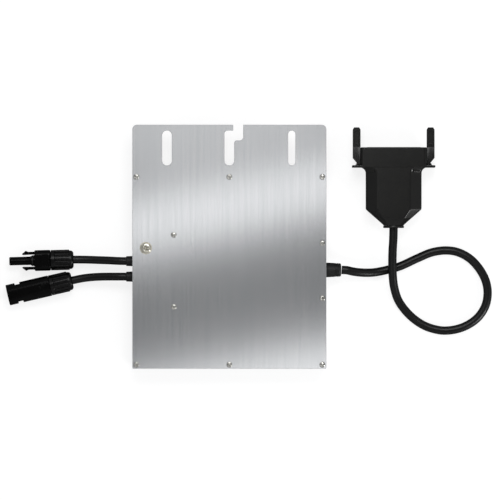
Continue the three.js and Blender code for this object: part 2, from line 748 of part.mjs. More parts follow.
function acConnector(parent) {
  const group = new THREE.Group();
  group.name = "ac_connector";
  group.position.set(acPlug.x, acPlug.y, acPlug.halfDepth);
  parent.add(group);
  piece(group, "ac_connector_body", connectorBody(), blackNylon);
  piece(group, "ac_contact_carrier", contactCarrier(), blackNylon);
  acPins.forEach((x, i) => piece(group, `ac_contact_pin_${i + 1}`, contactPin(x), tinnedCopper));
  piece(group, "ac_face_seal", faceSeal(), blackRubber);
  piece(group, "ac_latch_right", sideLatch(), blackNylon);
  const left = piece(group, "ac_latch_left", sideLatch(), blackNylon);
  left.rotation.y = Math.PI;
  const collar = tubeRing(acCable.radius + GAP, 9.25, 0, acShell.collar, "y", 20);
  piece(group, "ac_cable_collar", collar, blackNylon);
}

// ---------------------------------------------------------------- the leads
// Each route starts where the lead leaves its strain relief. The leads lie on the surface where they can.
const acRoute = [
  [99.1, -20.5, 14],
  [104, -20.8, 13.9],
  [109, -21.9, 12.7],
  [115, -22.7, 10.8],
  [121, -23, 8.4],
  [127, -22.8, 6.2],
  [133.5, -21.8, 4.6],
  [141, -20.1, 3.8],
  [150.8, -17.3, 3.7],
  [165.9, -10.4, 3.7],
  [179.1, -5, 3.7],
  [191.8, -3.3, 3.7],
  [202.4, -5, 3.7],
  [212.9, -10.7, 3.7],
  [221.4, -20, 3.7],
  [226.8, -30.6, 3.7],
  [228.4, -41.6, 3.7],
  [226.1, -53, 3.7],
  [218.6, -63.7, 3.7],
  [206, -71.4, 3.7],
  [191.8, -74.2, 3.7],
  [181.5, -73, 3.7],
  [170.3, -68.7, 3.7],
  [158.8, -59.9, 3.9],
  [149.6, -47.8, 5.4],
  [145.7, -36.1, 8.2],
  [144.3, -25, 10.9],
  [144, -14, 12.5],
  [144.2, -3, 13.3],
  [144.8, 7, 13.5],
  [145.05, 16.2, 13.5],
];
const dcRouteUpper = [
  [-91.3, -12.7, 15],
  [-97, -12.6, 14.7],
  [-105, -12.2, 13.4],
  [-113, -11.9, 11.7],
  [-121, -11.6, 10.1],
  [-129, -11.4, 9.2],
  [-137.8, -11.4, 9],
  [-146.4, -11.62, 9],
];
const dcRouteLower = [
  [-91.3, -26.4, 15],
  [-97, -26.4, 14.7],
  [-105, -26.4, 13.4],
  [-113, -26.5, 11.7],
  [-121, -26.9, 10.1],
  [-129.5, -27.9, 9.2],
  [-139, -29.8, 9],
  [-147.3, -31.72, 9],
];

function lead(route, cable, steps) {
  const points = route.map((point) => new THREE.Vector3(...point));
  const path = new THREE.CatmullRomCurve3(points, false, "centripetal");
  const section = [];
  for (let k = 0; k < cable.sides; k++) {
    const angle = ((k + 0.5) / cable.sides) * 2 * Math.PI;
    section.push(new THREE.Vector2(Math.cos(angle), Math.sin(angle)).multiplyScalar(cable.radius));
  }
  return new THREE.ExtrudeGeometry(new THREE.Shape(section), { steps, extrudePath: path });
}

function leads(parent) {
  piece(parent, "ac_cable", lead(acRoute, acCable, 64), cableJacket);
  piece(parent, "dc_cable_upper", lead(dcRouteUpper, dcCable, 12), cableJacket);
  piece(parent, "dc_cable_lower", lead(dcRouteLower, dcCable, 12), cableJacket);
}

// ---------------------------------------------------------------- the whole inverter
const inverter = new THREE.Group();
inverter.name = "micro_inverter";
piece(inverter, "mounting_plate", mountingPlate(), brushedAluminium);
piece(inverter, "enclosure_tub", enclosureTub(), castAluminium);
piece(inverter, "lid_gasket", lidGasket(), blackRubber);
screws(inverter);
strainReliefs(inverter);
electronics(inverter);
dcConnectors(inverter);
acConnector(inverter);
leads(inverter);

export default inverter;
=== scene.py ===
import math
import bpy
from mathutils import Matrix, Vector
from mathutils.geometry import tessellate_polygon


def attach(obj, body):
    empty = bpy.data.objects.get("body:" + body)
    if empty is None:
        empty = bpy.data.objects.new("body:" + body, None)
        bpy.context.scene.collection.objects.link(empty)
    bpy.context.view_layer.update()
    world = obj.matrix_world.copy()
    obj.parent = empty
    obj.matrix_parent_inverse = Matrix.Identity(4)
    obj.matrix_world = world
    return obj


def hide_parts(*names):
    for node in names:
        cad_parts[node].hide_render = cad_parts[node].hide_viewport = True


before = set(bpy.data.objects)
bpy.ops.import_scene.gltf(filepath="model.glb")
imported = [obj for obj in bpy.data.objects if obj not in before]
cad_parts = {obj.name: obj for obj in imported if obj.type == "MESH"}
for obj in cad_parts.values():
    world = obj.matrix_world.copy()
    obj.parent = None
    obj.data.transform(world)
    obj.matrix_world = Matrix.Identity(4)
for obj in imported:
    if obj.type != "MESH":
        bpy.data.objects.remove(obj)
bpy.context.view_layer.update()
mm = 0.001


def linearColour(hexCode):
    channels = [int(hexCode[i:i + 2], 16) / 255 for i in (1, 3, 5)]
    return tuple(c / 12.92 if c <= 0.04045 else ((c + 0.055) / 1.055) ** 2.4 for c in channels) + (1.0,)


# A node with its settings and links. Keys in lower case are the node's own, other keys are its sockets.
def addNode(tree, kind, settings=None, links=None):
    made = tree.nodes.new(kind)
    for key, value in (settings or {}).items():
        if isinstance(key, str) and key[0].islower():
            setattr(made, key, value)
        else:
            made.inputs[key].default_value = value
    for key, source in (links or {}).items():
        tree.links.new(source, made.inputs[key])
    return made


def newMaterial(name, hexCode, roughness, constants=None):
    material = bpy.data.materials.new(name)
    material.use_nodes = True
    tree = material.node_tree
    tree.nodes.clear()
    settings = {"Base Color": linearColour(hexCode), "Roughness": roughness, **(constants or {})}
    shader = addNode(tree, "ShaderNodeBsdfPrincipled", settings)
    addNode(tree, "ShaderNodeOutputMaterial", {}, {"Surface": shader.outputs[0]})
    place = addNode(tree, "ShaderNodeTexCoord").outputs["Object"]
    return material, tree, shader, place


middling = {"From Min": 0.3, "From Max": 0.7}  # where most of a noise's values lie


# A broad noise varies the colour, and a fine one the roughness and the relief. Sizes are in millimetres.
def grainedMaterial(name, look):
    constants = {"Metallic": look.get("metallic", 0.0), **look.get("constants", {})}
    material, tree, shader, place = newMaterial(name, look["light"], look["rough"][0], constants)
    noises = []
    for size, detail in ((look["grain"], 3.0), (look["cloud"], 2.0)):
        scale = tuple(1 / (side * mm) for side in size)
        scaled = addNode(tree, "ShaderNodeMapping", {"Scale": scale}, {"Vector": place})
        noise = addNode(tree, "ShaderNodeTexNoise", {"Scale": 1.0, "Detail": detail, "Roughness": 0.55},
                        {"Vector": scaled.outputs[0]})
        noises.append(noise.outputs["Fac"])
    fine, broad = noises
    clouds = addNode(tree, "ShaderNodeMapRange", middling, {"Value": broad})
    colour = addNode(tree, "ShaderNodeMix", {
        "data_type": "RGBA", 6: linearColour(look["dark"]), 7: linearColour(look["light"])},
        {0: clouds.outputs[0]})
    low, high = look["rough"]
    haze = addNode(tree, "ShaderNodeMapRange", {**middling, "To Min": low, "To Max": high}, {"Value": fine})
    tree.links.new(colour.outputs[2], shader.inputs["Base Color"])
    tree.links.new(haze.outputs[0], shader.inputs["Roughness"])
    if look["depth"]:
        raised = addNode(tree, "ShaderNodeBump", {"Strength": 1.0, "Distance": look["depth"] * mm},
                         {"Height": fine})
        tree.links.new(raised.outputs[0], shader.inputs["Normal"])
    return material


looks = {
    # satin sheet with hair-thin brush lines along the slots: soft, stretched reflections
    "brushedAluminiumSheet": {
        "dark": "#D6D8DA", "light": "#DCDDDF", "rough": (0.2, 0.23), "metallic": 1.0,
        "grain": (0.5, 60, 7), "cloud": (2.5, 120, 11), "depth": 0,
    },
    # sand-dull casting skin: a slightly mottled, soft grey metal
    "dieCastAluminium": {
        "dark": "#94969A", "light": "#A8AAAD", "rough": (0.4, 0.55), "metallic": 1.0,
        "grain": (0.7, 0.7, 0.7), "cloud": (14, 14, 14), "depth": 0.03,
    },
    # bright zinc on small screws: pale, slightly hazy
    "zincPlatedSteel": {
        "dark": "#A8A7A2", "light": "#C2C1BC", "rough": (0.14, 0.22), "metallic": 1.0,
        "grain": (0.4, 0.4, 0.4), "cloud": (3, 3, 3), "depth": 0.004,
    },
    # nickel with a warm, yellowish cast, turned and slightly worn
    "nickelPlatedSteel": {
        "dark": "#B9B5A6", "light": "#DDDACE", "rough": (0.16, 0.28), "metallic": 1.0,
        "grain": (0.5, 0.5, 0.5), "cloud": (4, 4, 4), "depth": 0.004,
    },
    # tin over copper: pale and softly shiny
    "tinPlatedCopper": {
        "dark": "#B7AE9C", "light": "#D2CBBE", "rough": (0.22, 0.34), "metallic": 1.0,
        "grain": (0.4, 0.4, 0.4), "cloud": (3, 3, 3), "depth": 0.004,
    },
    # glass-filled nylon from a spark-eroded mould: near black, fine satin tooth
    "mouldedNylon": {
        "dark": "#090908", "light": "#0E0E0C", "rough": (0.26, 0.34), "grain": (0.35, 0.35, 0.35),
        "cloud": (9, 9, 9), "depth": 0.012, "constants": {"IOR": 1.53, "Specular IOR Level": 0.26},
    },
    # deeper black nylon of the solar connectors, with little shine
    "connectorNylon": {
        "dark": "#030303", "light": "#060606", "rough": (0.2, 0.28), "grain": (0.4, 0.4, 0.4),
        "cloud": (7, 7, 7), "depth": 0.006, "constants": {"IOR": 1.53, "Specular IOR Level": 0.07},
    },
    # the union nuts' nylon, polished by hands: thin bright lines along the grip ribs
    "gripNylon": {
        "dark": "#040404", "light": "#070707", "rough": (0.22, 0.3), "grain": (0.4, 0.4, 0.4),
        "cloud": (7, 7, 7), "depth": 0.006, "constants": {"IOR": 1.53, "Specular IOR Level": 0.17},
    },
    # extruded thermoplastic rubber jacket: satin black with a faint lengthwise ripple
    "extrudedJacket": {
        "dark": "#050505", "light": "#0A0A0A", "rough": (0.3, 0.38), "grain": (0.9, 0.9, 0.9),
        "cloud": (18, 18, 18), "depth": 0.01, "constants": {"IOR": 1.5, "Specular IOR Level": 0.26},
    },
    # soft moulded rubber: dull, dusty black
    "mouldedRubber": {
        "dark": "#0D0D0D", "light": "#141414", "rough": (0.48, 0.6), "grain": (0.5, 0.5, 0.5),
        "cloud": (6, 6, 6), "depth": 0.02, "constants": {"IOR": 1.52, "Specular IOR Level": 0.28},
    },
    # pressed and sintered ferrite: charcoal with pale specks
    "sinteredFerrite": {
        "dark": "#2E2E30", "light": "#454548", "rough": (0.55, 0.75), "grain": (0.3, 0.3, 0.3),
        "cloud": (1.2, 1.2, 1.2), "depth": 0.02,
    },
    # heat-shrunk sleeve: smooth dark blue with a soft gloss
    "shrunkSleeve": {
        "dark": "#22305C", "light": "#2D3D70", "rough": (0.25, 0.38), "grain": (1.5, 1.5, 6),
        "cloud": (8, 8, 8), "depth": 0.01, "constants": {"IOR": 1.5},
    },
    # moulded polyester case of the film capacitor: mustard, semi-gloss
    "mouldedPolyester": {
        "dark": "#B98A22", "light": "#CFA033", "rough": (0.35, 0.48), "grain": (0.6, 0.6, 0.6),
        "cloud": (10, 10, 10), "depth": 0.01, "constants": {"IOR": 1.55},
    },
    # epoxy moulding compound of the transistors: matt black-grey
    "mouldedEpoxy": {
        "dark": "#1B1B1C", "light": "#262628", "rough": (0.5, 0.66), "grain": (0.3, 0.3, 0.3),
        "cloud": (4, 4, 4), "depth": 0.01,
    },
    # cured two-part potting: dark, self-levelled, softly shiny
    "curedPotting": {
        "dark": "#1E1D1B", "light": "#2A2926", "rough": (0.24, 0.4), "grain": (5, 5, 5),
        "cloud": (25, 25, 25), "depth": 0.08, "constants": {"IOR": 1.45},
    },
}
materials = {name: grainedMaterial(name, look) for name, look in looks.items()}


# Solder resist over copper tracks: glossy green with paler, slightly raised lines every 2.5 mm.
def solderResist():
    material, tree, shader, place = newMaterial("solderResist", "#1B5733", 0.3, {"IOR": 1.55})
    scaled = addNode(tree, "ShaderNodeMapping", {"Scale": (400, 400, 400)}, {"Vector": place})
    tracks = addNode(tree, "ShaderNodeTexBrick", {
        "Scale": 1.0, "Mortar Size": 0.09, "Mortar Smooth": 0.1, "Brick Width": 3.1, "Row Height": 1.0,
        "Color1": linearColour("#17492B"), "Color2": linearColour("#1D5A35"),
        "Mortar": linearColour("#3F8A55"),
    }, {"Vector": scaled.outputs[0]})
    raised = addNode(tree, "ShaderNodeBump", {"Strength": 1.0, "Distance": 0.04 * mm},
                     {"Height": tracks.outputs["Fac"]})
    tree.links.new(tracks.outputs["Color"], shader.inputs["Base Color"])
    tree.links.new(raised.outputs[0], shader.inputs["Normal"])
    return material


# Varnished copper wire laid turn beside turn, 0.8 mm apart: fine ridges with an orange-brown sheen. The colour
# follows the ridges, with a painted highlight along each turn's crest and painted shade in the grooves between
# turns.
def varnishedWinding():
    constants = {"Metallic": 0.85, "Coat Weight": 0.5}
    material, tree, shader, place = newMaterial("varnishedWinding", "#9C4E26", 0.3, constants)
    turns = addNode(tree, "ShaderNodeTexWave", {
        "wave_type": "BANDS", "bands_direction": "Z", "wave_profile": "SIN",
        "Scale": 1 / (0.8 * mm) / 20 * math.tau, "Distortion": 0.6, "Detail": 1.0,
    }, {"Vector": place})
    # painted highlight and painted shade: the same waves that raise the relief make the crests lighter and the
    # grooves between turns darker
    spread = addNode(tree, "ShaderNodeMapRange", middling, {"Value": turns.outputs["Fac"]})
    colour = addNode(tree, "ShaderNodeMix", {
        "data_type": "RGBA", 6: linearColour("#6E3116"), 7: linearColour("#B8652F")}, {0: spread.outputs[0]})
    raised = addNode(tree, "ShaderNodeBump", {"Strength": 1.0, "Distance": 0.15 * mm},
                     {"Height": turns.outputs["Fac"]})
    tree.links.new(colour.outputs[2], shader.inputs["Base Color"])
    tree.links.new(raised.outputs[0], shader.inputs["Normal"])
    return material


# A plain colour with a fine unevenness. Grain and depth are in millimetres.
def unevenMaterial(name, hexCode, roughness, constants, grain, depth):
    material, tree, shader, place = newMaterial(name, hexCode, roughness, constants)
    noise = addNode(tree, "ShaderNodeTexNoise", {"Scale": 1 / (grain * mm), "Detail": 3.0, "Roughness": 0.55},
                    {"Vector": place})
    raised = addNode(tree, "ShaderNodeBump", {"Strength": 1.0, "Distance": depth * mm},
                     {"Height": noise.outputs["Fac"]})
    tree.links.new(raised.outputs[0], shader.inputs["Normal"])
    return material


materials["solderResist"] = solderResist()
materials["varnishedWinding"] = varnishedWinding()
# clear polycarbonate of the light pipe: see-through with polished ends
materials["clearPolycarbonate"] = unevenMaterial(
    "clearPolycarbonate", "#E8F2E8", 0.06, {"IOR": 1.585, "Transmission Weight": 0.9}, 2, 0.01)
# the board that the inverter lies on
materials["paintedBoard"] = unevenMaterial(
    "paintedBoard", "#909090", 0.85, {"Emission Color": (1, 1, 1, 1)}, 3, 0.01)
print("materials ready")


# Outlines are closed loops of flat points and shapes are pairs of vertices and faces, all in millimetres.
# The points of an outline with rounded corners. Each corner is (x, y) or (x, y, radius).
def outline(corners, turn=math.radians(8), facets=None):
    points = []
    for i, corner in enumerate(corners):
        here = Vector(corner[:2])
        radius = corner[2] if len(corner) > 2 else 0
        into = (here - Vector(corners[i - 1][:2])).normalized()
        out = (Vector(corners[(i + 1) % len(corners)][:2]) - here).normalized()
        angle = math.atan2(into.x * out.y - into.y * out.x, into.dot(out))
        side = math.copysign(1, angle)
        start = here - into * radius * math.tan(abs(angle) / 2)
        centre = start + Vector((-into.y, into.x)) * side * radius
        first = math.atan2(start.y - centre.y, start.x - centre.x)
        count = facets or (max(1, round(abs(angle) / turn)) if radius else 0)
        for k in range(count + 1):
            a = first + (angle * k / count if count else 0)
            points.append(centre + radius * Vector((math.cos(a), math.sin(a))))
    if facets:  # loops that are joined into a skin keep every point
        return points
    return [p for i, p in enumerate(points) if (p - points[i - 1]).length > 1e-6]


def rectangle(width, height, radius, x=0, y=0, facets=None):
    w, h = width / 2, height / 2
    corners = [(x - w, y - h, radius), (x + w, y - h, radius), (x + w, y + h, radius), (x - w, y + h, radius)]
    return outline(corners, facets=facets)


def circle(radius, x, y, count):
    return [Vector((x + radius * math.cos(math.tau * k / count), y + radius * math.sin(math.tau * k / count)))
            for k in range(count)]


# Each point of a loop moved towards its left, which is the side that the material is on.
def inset(loop, by):
    shifted = []
    for i, p in enumerate(loop):
        before = (p - loop[i - 1]).normalized()
        after = (loop[(i + 1) % len(loop)] - p).normalized()
        left = Vector((-before.y - after.y, before.x + after.x))
        left = left.normalized() if left.length > 1e-6 else Vector((-after.y, after.x))
        shifted.append(p + left * by / max(0.5, left.dot(Vector((-after.y, after.x)))))
    return shifted


# Rings of equal length joined into a skin and closed by flat caps.
def skin(rings):
    verts = [tuple(p) for ring in rings for p in ring]
    count = len(rings[0])
    last = len(verts) - count
    faces = []
    for a in range(0, last, count):
        b = a + count
        faces += [(a + i, a + (i + 1) % count, b + (i + 1) % count, b + i) for i in range(count)]
    return verts, faces + [tuple(reversed(range(count))), tuple(range(last, last + count))]


# A plate with rounded edges and holes, from z = low to z = high.
def slab(loop, low, high, edge, holes=(), arcs=3):
    loops = [list(loop)] + [list(reversed(hole)) for hole in holes]
    steps = [math.pi / 2 * k / arcs for k in range(arcs + 1)]
    profile = [(edge * (1 - math.sin(a)), low + edge * (1 - math.cos(a))) for a in steps]
    profile += [(edge * (1 - math.cos(a)), high - edge * (1 - math.sin(a))) for a in steps]
    verts, faces = [], []
    bottoms, tops = [], []
    for one in loops:
        count = len(one)
        base = len(verts)
        for by, z in profile:
            verts += [(p.x, p.y, z) for p in inset(one, by)]
        last = base + (len(profile) - 1) * count
        for a in range(base, last, count):
            b = a + count
            faces += [(a + i, a + (i + 1) % count, b + (i + 1) % count, b + i) for i in range(count)]
        bottoms.append(range(base, base + count))
        tops.append(range(last, last + count))
    for ends, up in ((bottoms, False), (tops, True)):
        numbers = [n for end in ends for n in end]
        for triangle in tessellate_polygon([[Vector(verts[n]) for n in end] for end in ends]):
            a, b, c = (Vector(verts[numbers[k]]) for k in triangle)
            face = tuple(numbers[k] for k in triangle)
            rising = (b - a).cross(c - a).z > 0
            faces.append(face if rising == up else tuple(reversed(face)))
    return verts, faces


# A turned solid about +X. The profile lists (radius, place) from the axis back to the axis, or round a ring.
def turned(profile, count=48, ring=False):
    verts, faces, rows = [], [], []
    for radius, along in profile:
        if radius < 1e-6:
            rows.append([len(verts)])
            verts.append((along, 0, 0))
        else:
            rows.append(list(range(len(verts), len(verts) + count)))
            angles = [math.tau * k / count for k in range(count)]
            verts += [(along, radius * math.cos(a), radius * math.sin(a)) for a in angles]
    pairs = list(zip(rows, rows[1:]))
    if ring:
        pairs.append((rows[-1], rows[0]))
    for low, high in pairs:
        for k in range(count):
            m = (k + 1) % count
            if len(low) == 1:
                faces.append((low[0], high[m], high[k]))
            elif len(high) == 1:
                faces.append((low[k], low[m], high[0]))
            else:
                faces.append((low[k], low[m], high[m], high[k]))
    return verts, faces


# A turned profile with its corners rounded. Corners are (radius, place, rounding).
def softProfile(corners):
    return [(p.x, p.y) for p in outline(corners, turn=math.radians(20))]


def moved(shape, matrix):
    verts, faces = shape
    return [tuple(matrix @ Vector(v)) for v in verts], faces


def together(shapes):
    verts, faces = [], []
    for shapeVerts, shapeFaces in shapes:
        base = len(verts)
        verts += shapeVerts
        faces += [tuple(base + n for n in face) for face in shapeFaces]
    return verts, faces


def block(middle, size, edge):
    wide, long, tall = size
    shape = slab(rectangle(wide, long, edge * 1.2), -tall / 2, tall / 2, edge)
    return moved(shape, Matrix.Translation(middle))


# Two blocks, one on each side of the middle plane across axis 0, 1 or 2, which are X, Y and Z.
def blockPair(middle, size, edge, axis):
    middles = [[side * c if number == axis else c for number, c in enumerate(middle)] for side in (-1, 1)]
    return [block(one, size, edge) for one in middles]


# An outline's X and Y and its height go to Y, Z and X with the first, and to X, -Z and Y with the second.
alongX = Matrix(((0, 0, 1, 0), (1, 0, 0, 0), (0, 1, 0, 0), (0, 0, 0, 1)))
alongY = Matrix(((1, 0, 0, 0), (0, 0, 1, 0), (0, -1, 0, 0), (0, 0, 0, 1)))
upright = Matrix.Rotation(-math.pi / 2, 4, "Y")  # a turned shape's X to Z
upToMetres = Matrix.Scale(mm, 4)


# A mesh from a shape in metres, shaded smooth up to the given angle in degrees.
def makeMesh(name, shape, material, smooth):
    mesh = bpy.data.meshes.new(name)
    mesh.from_pydata(shape[0], [], shape[1])
    mesh.update()
    if material:
        mesh.materials.append(material)
    mesh.shade_smooth()
    mesh.set_sharp_from_angle(angle=math.radians(smooth))
    return mesh


def makeObject(name, shape, material=None, place=Matrix(), smooth=35):
    mesh = makeMesh(name, moved(shape, upToMetres @ place), materials.get(material), smooth)
    made = bpy.data.objects.new(name, mesh)
    bpy.context.collection.objects.link(made)
    return made


# Normals lean towards the larger faces, so flat faces stay flat beside their rounded edges.
def makePlain(made):
    lean = made.modifiers.new("lean", "WEIGHTED_NORMAL")
    lean.weight = 80
    lean.keep_sharp = True
    ready = made.evaluated_get(bpy.context.evaluated_depsgraph_get())
    mesh = bpy.data.meshes.new_from_object(ready)
    made.modifiers.clear()
    made.data = mesh
    return made


def cutAway(made, shapes, smooth=35):
    cutters = [makeObject("cutter", shape) for shape in shapes]
    for cutter in cutters:
        modifier = made.modifiers.new("cut", "BOOLEAN")
        modifier.operation = "DIFFERENCE"
        modifier.solver = "EXACT"
        modifier.object = cutter
    makePlain(made)
    for cutter in cutters:
        bpy.data.objects.remove(cutter)
    made.data.shade_smooth()
    made.data.set_sharp_from_angle(angle=math.radians(smooth))
    return made


# Closed shells in millimetres join a piece that is already made, as its ribs, threads and collars do.
def addShells(made, shapes):
    own = ([tuple(v.co) for v in made.data.vertices], [tuple(face.vertices) for face in made.data.polygons])
    whole = together([own, moved(together(shapes), upToMetres)])
    made.data = makeMesh(made.name, whole, made.data.materials[0], 35)


# A piece made at the origin goes to its place, which is in millimetres, within its mesh.
def settle(made, place):
    made.data.transform(Matrix.Translation(place.to_translation() * mm) @ place.to_3x3().to_4x4())


def finishPiece(made, body, nodes):
    if made.type == "MESH":
        makePlain(made)
    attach(made, body)
    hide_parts(*nodes)
    return made


# The camera looks straight down on the inverter, which lies on its back. Metres, and the lens in millimetres.
view = {"lens": 600, "sensor": 36, "place": (0.0182, -0.0029, 7.375), "farthest": 20}
cameraData = bpy.data.cameras.new("camera")
cameraData.lens = view["lens"]
cameraData.sensor_width = view["sensor"]
cameraData.clip_end = view["farthest"]
camera = bpy.data.objects.new("camera", cameraData)
camera.location = view["place"]
bpy.context.collection.objects.link(camera)
bpy.context.scene.camera = camera

# The leads: routes and radii in millimetres, exits and lengths in metres.
leads = {
    "acCable": {
        "node": "ac_cable", "radius": 3.75, "exit": (0.0987, -0.0205, 0.014), "length": 0.328,
        "diameter": 0.0072, "stiffness": "medium",
        "route": [
            (99.1, -20.5, 14), (104, -20.8, 13.9), (109, -21.9, 12.7), (115, -22.7, 10.8), (121, -23, 8.4),
            (127, -22.8, 6.2), (133.5, -21.8, 4.6), (141, -20.1, 3.8), (150.8, -17.3, 3.7), (165.9, -10.4, 3.7),
            (179.1, -5, 3.7), (191.8, -3.3, 3.7), (202.4, -5, 3.7), (212.9, -10.7, 3.7), (221.4, -20, 3.7),
            (226.8, -30.6, 3.7), (228.4, -41.6, 3.7), (226.1, -53, 3.7), (218.6, -63.7, 3.7), (206, -71.4, 3.7),
            (191.8, -74.2, 3.7), (181.5, -73, 3.7), (170.3, -68.7, 3.7), (158.8, -59.9, 3.9), (149.6, -47.8, 5.4),
            (145.7, -36.1, 8.2), (144.3, -25, 10.9), (144, -14, 12.5), (144.2, -3, 13.3), (144.8, 7, 13.5),
            (145.05, 18.5, 13.5),
        ],
    },
    "dcCableUpper": {
        "node": "dc_cable_upper", "radius": 3.5, "exit": (-0.091, -0.0127, 0.015), "length": 0.056,
        "diameter": 0.0067, "stiffness": "stiff",
        "route": [
            (-91.3, -12.7, 15), (-97, -12.6, 14.7), (-105, -12.2, 13.4), (-113, -11.9, 11.7), (-121, -11.6, 10.1),
            (-129, -11.4, 9.2), (-137.8, -11.4, 9), (-146.4, -11.62, 9),
        ],
    },
    "dcCableLower": {
        "node": "dc_cable_lower", "radius": 3.5, "exit": (-0.091, -0.0264, 0.015), "length": 0.057,
        "diameter": 0.0067, "stiffness": "stiff",
        "route": [
            (-91.3, -26.4, 15), (-97, -26.4, 14.7), (-105, -26.4, 13.4), (-113, -26.5, 11.7), (-121, -26.9, 10.1),
            (-129.5, -27.9, 9.2), (-139, -29.8, 9), (-147.3, -31.72, 9),
        ],
    },
}


# A centripetal curve through the route's points, as the lead's solid follows.
def curveThrough(route, steps=8):
    points = [Vector(p) * mm for p in route]
    points = [points[0] * 2 - points[1]] + points + [points[-1] * 2 - points[-2]]
    line = []
    for p0, p1, p2, p3 in zip(points, points[1:], points[2:], points[3:]):
        d0, d1, d2 = ((b - a).length ** 0.5 for a, b in ((p0, p1), (p1, p2), (p2, p3)))
        leave = ((p1 - p0) / d0 - (p2 - p0) / (d0 + d1) + (p2 - p1) / d1) * d1
        arrive = ((p2 - p1) / d1 - (p3 - p1) / (d1 + d2) + (p3 - p2) / d2) * d1
        square = -3 * p1 + 3 * p2 - 2 * leave - arrive
        cube = 2 * p1 - 2 * p2 + leave + arrive
        line += [p1 + leave * t + square * t ** 2 + cube * t ** 3 for t in (k / steps for k in range(steps))]
    return line + [points[-2]]


def makeLead(name, lead):
    line = curveThrough(lead["route"])
    data = bpy.data.curves.new(name, "CURVE")
    data.dimensions = "3D"
    data.bevel_depth = lead["radius"] * mm
    data.bevel_resolution = 8
    data.use_fill_caps = True
    spline = data.splines.new("POLY")
    spline.points.add(len(line) - 1)
    for point, place in zip(spline.points, line):
        point.co = (*place, 1)
    spline.use_smooth = True
    data.materials.append(materials["extrudedJacket"])
    made = bpy.data.objects.new(name, data)
    bpy.context.collection.objects.link(made)
    finishPiece(made, "inverter", [lead["node"]])
    print(name, "length", round(sum((b - a).length for a, b in zip(line, line[1:])), 4))
    return made


leadPieces = {name: makeLead(name, lead) for name, lead in leads.items()}

# The mounting plate's middle slot opens through a hook-shaped mouth at its upper edge.
plateSizes = {
    "width": 171, "height": 215, "low": 28.5, "high": 30, "corner": 4, "foot": 0.8, "edge": 0.25,
    "slotTop": 102.3, "slotBottom": 71.7, "slotWide": 8.6, "slotNarrow": 6.4, "pitch": 55,
    "hookLeft": 3.4, "hookRight": 12.2, "hookFloor": 93.7, "screwHole": 1.8, "groundHole": 2.8,
}
lidScrewPlaces = [
    (-82, 61.5), (0, 61.5), (82, 61.5), (82, 3), (82, -45.4), (82, -104), (0, -104), (-82, -104),
    (-49, 10.4), (-49, -53.1),
]
groundPlace = (-73.6, -1.2)


def plateOutline(s):
    w, h, half = s["width"] / 2, s["height"] / 2, s["slotWide"] / 2
    return outline([
        (-w, -h, s["foot"]), (w, -h, s["foot"]), (w, h, s["corner"]), (s["hookRight"], h, 0.6),
        (s["hookRight"], s["hookFloor"], 3.2), (half, s["hookFloor"], 2),
        (half, s["slotBottom"], half - 0.001), (-half, s["slotBottom"], half - 0.001),
        (-half, s["slotTop"], 2.8), (s["hookLeft"], s["slotTop"], 0.6), (s["hookLeft"], h, 0.6),
        (-w, h, s["corner"]),
    ])


def slotHole(s, x, width):
    middle = (s["slotTop"] + s["slotBottom"]) / 2
    return rectangle(width, s["slotTop"] - s["slotBottom"], width / 2 - 0.001, x, middle)


def makePlate(s):
    holes = [slotHole(s, -s["pitch"], s["slotWide"]), slotHole(s, s["pitch"], s["slotNarrow"])]
    holes += [circle(s["screwHole"], x, y, 20) for x, y in lidScrewPlaces]
    holes.append(circle(s["groundHole"], *groundPlace, 24))
    shape = slab(plateOutline(s), s["low"], s["high"], s["edge"], holes)
    plate = makeObject("mountingPlate", shape, "brushedAluminiumSheet")
    for face in plate.data.polygons:
        face.use_smooth = abs(face.normal.z) < 0.999
    return finishPiece(plate, "inverter", ["mounting_plate"])


mountingPlate = makePlate(plateSizes)
print("plate ready")

# The die-cast tub: shallow grooves in its back, and an outlet (x, y, z, radius) for each lead.
tubSizes = {
    "width": 170, "height": 172, "middleY": -21, "rim": 27.7, "corner": 4, "edge": 3, "draft": 0.25,
    "wall": 2.6,
    "lipHeight": 2.8, "lipStep": 0.15, "grooves": 7, "groovePitch": 19, "grooveWidth": 9, "grooveLength": 116,
    "grooveDepth": 0.9, "outlets": [(-85, -12.7, 15, 4), (-85, -26.4, 15, 4), (85, -20.5, 14, 5.5)],
}


def makeTub(s):
    def ring(shrink, z):
        corner = max(s["corner"] - shrink, 0.6)
        loop = rectangle(s["width"] - 2 * shrink, s["height"] - 2 * shrink, corner, 0, s["middleY"], facets=6)
        return [(p.x, p.y, z) for p in loop]

    edge, rim, wall, lip = s["edge"], s["rim"], s["wall"], s["lipHeight"]
    rounding = [math.pi / 2 * k / 5 for k in range(6)]
    rings = [ring(edge * (1 - math.sin(a)) + s["draft"], edge * (1 - math.cos(a))) for a in rounding]
    rings += [ring(s["lipStep"], rim - lip - 0.4), ring(0, rim - lip), ring(0, rim - 0.3), ring(0.3, rim)]
    rings += [ring(wall, rim), ring(wall + 0.6, wall + 1), ring(wall + 1.6, wall)]
    tub = makeObject("dieCastTub", skin(rings), "dieCastAluminium")
    cuts = []
    for k in range(s["grooves"]):
        x = (k - (s["grooves"] - 1) / 2) * s["groovePitch"]
        loop = rectangle(s["grooveWidth"], s["grooveLength"], s["grooveWidth"] / 2 - 0.01, x, s["middleY"])
        cuts.append(slab(loop, -1, s["grooveDepth"], 0.45))
    for x, y, z, radius in s["outlets"]:
        drill = turned([(0, -6), (radius, -6), (radius, 6), (0, 6)])
        cuts.append(moved(drill, Matrix.Translation((x, y, z))))
    cutAway(tub, cuts)
    return finishPiece(tub, "inverter", ["enclosure_tub"])


makeTub(tubSizes)
print("tub ready")


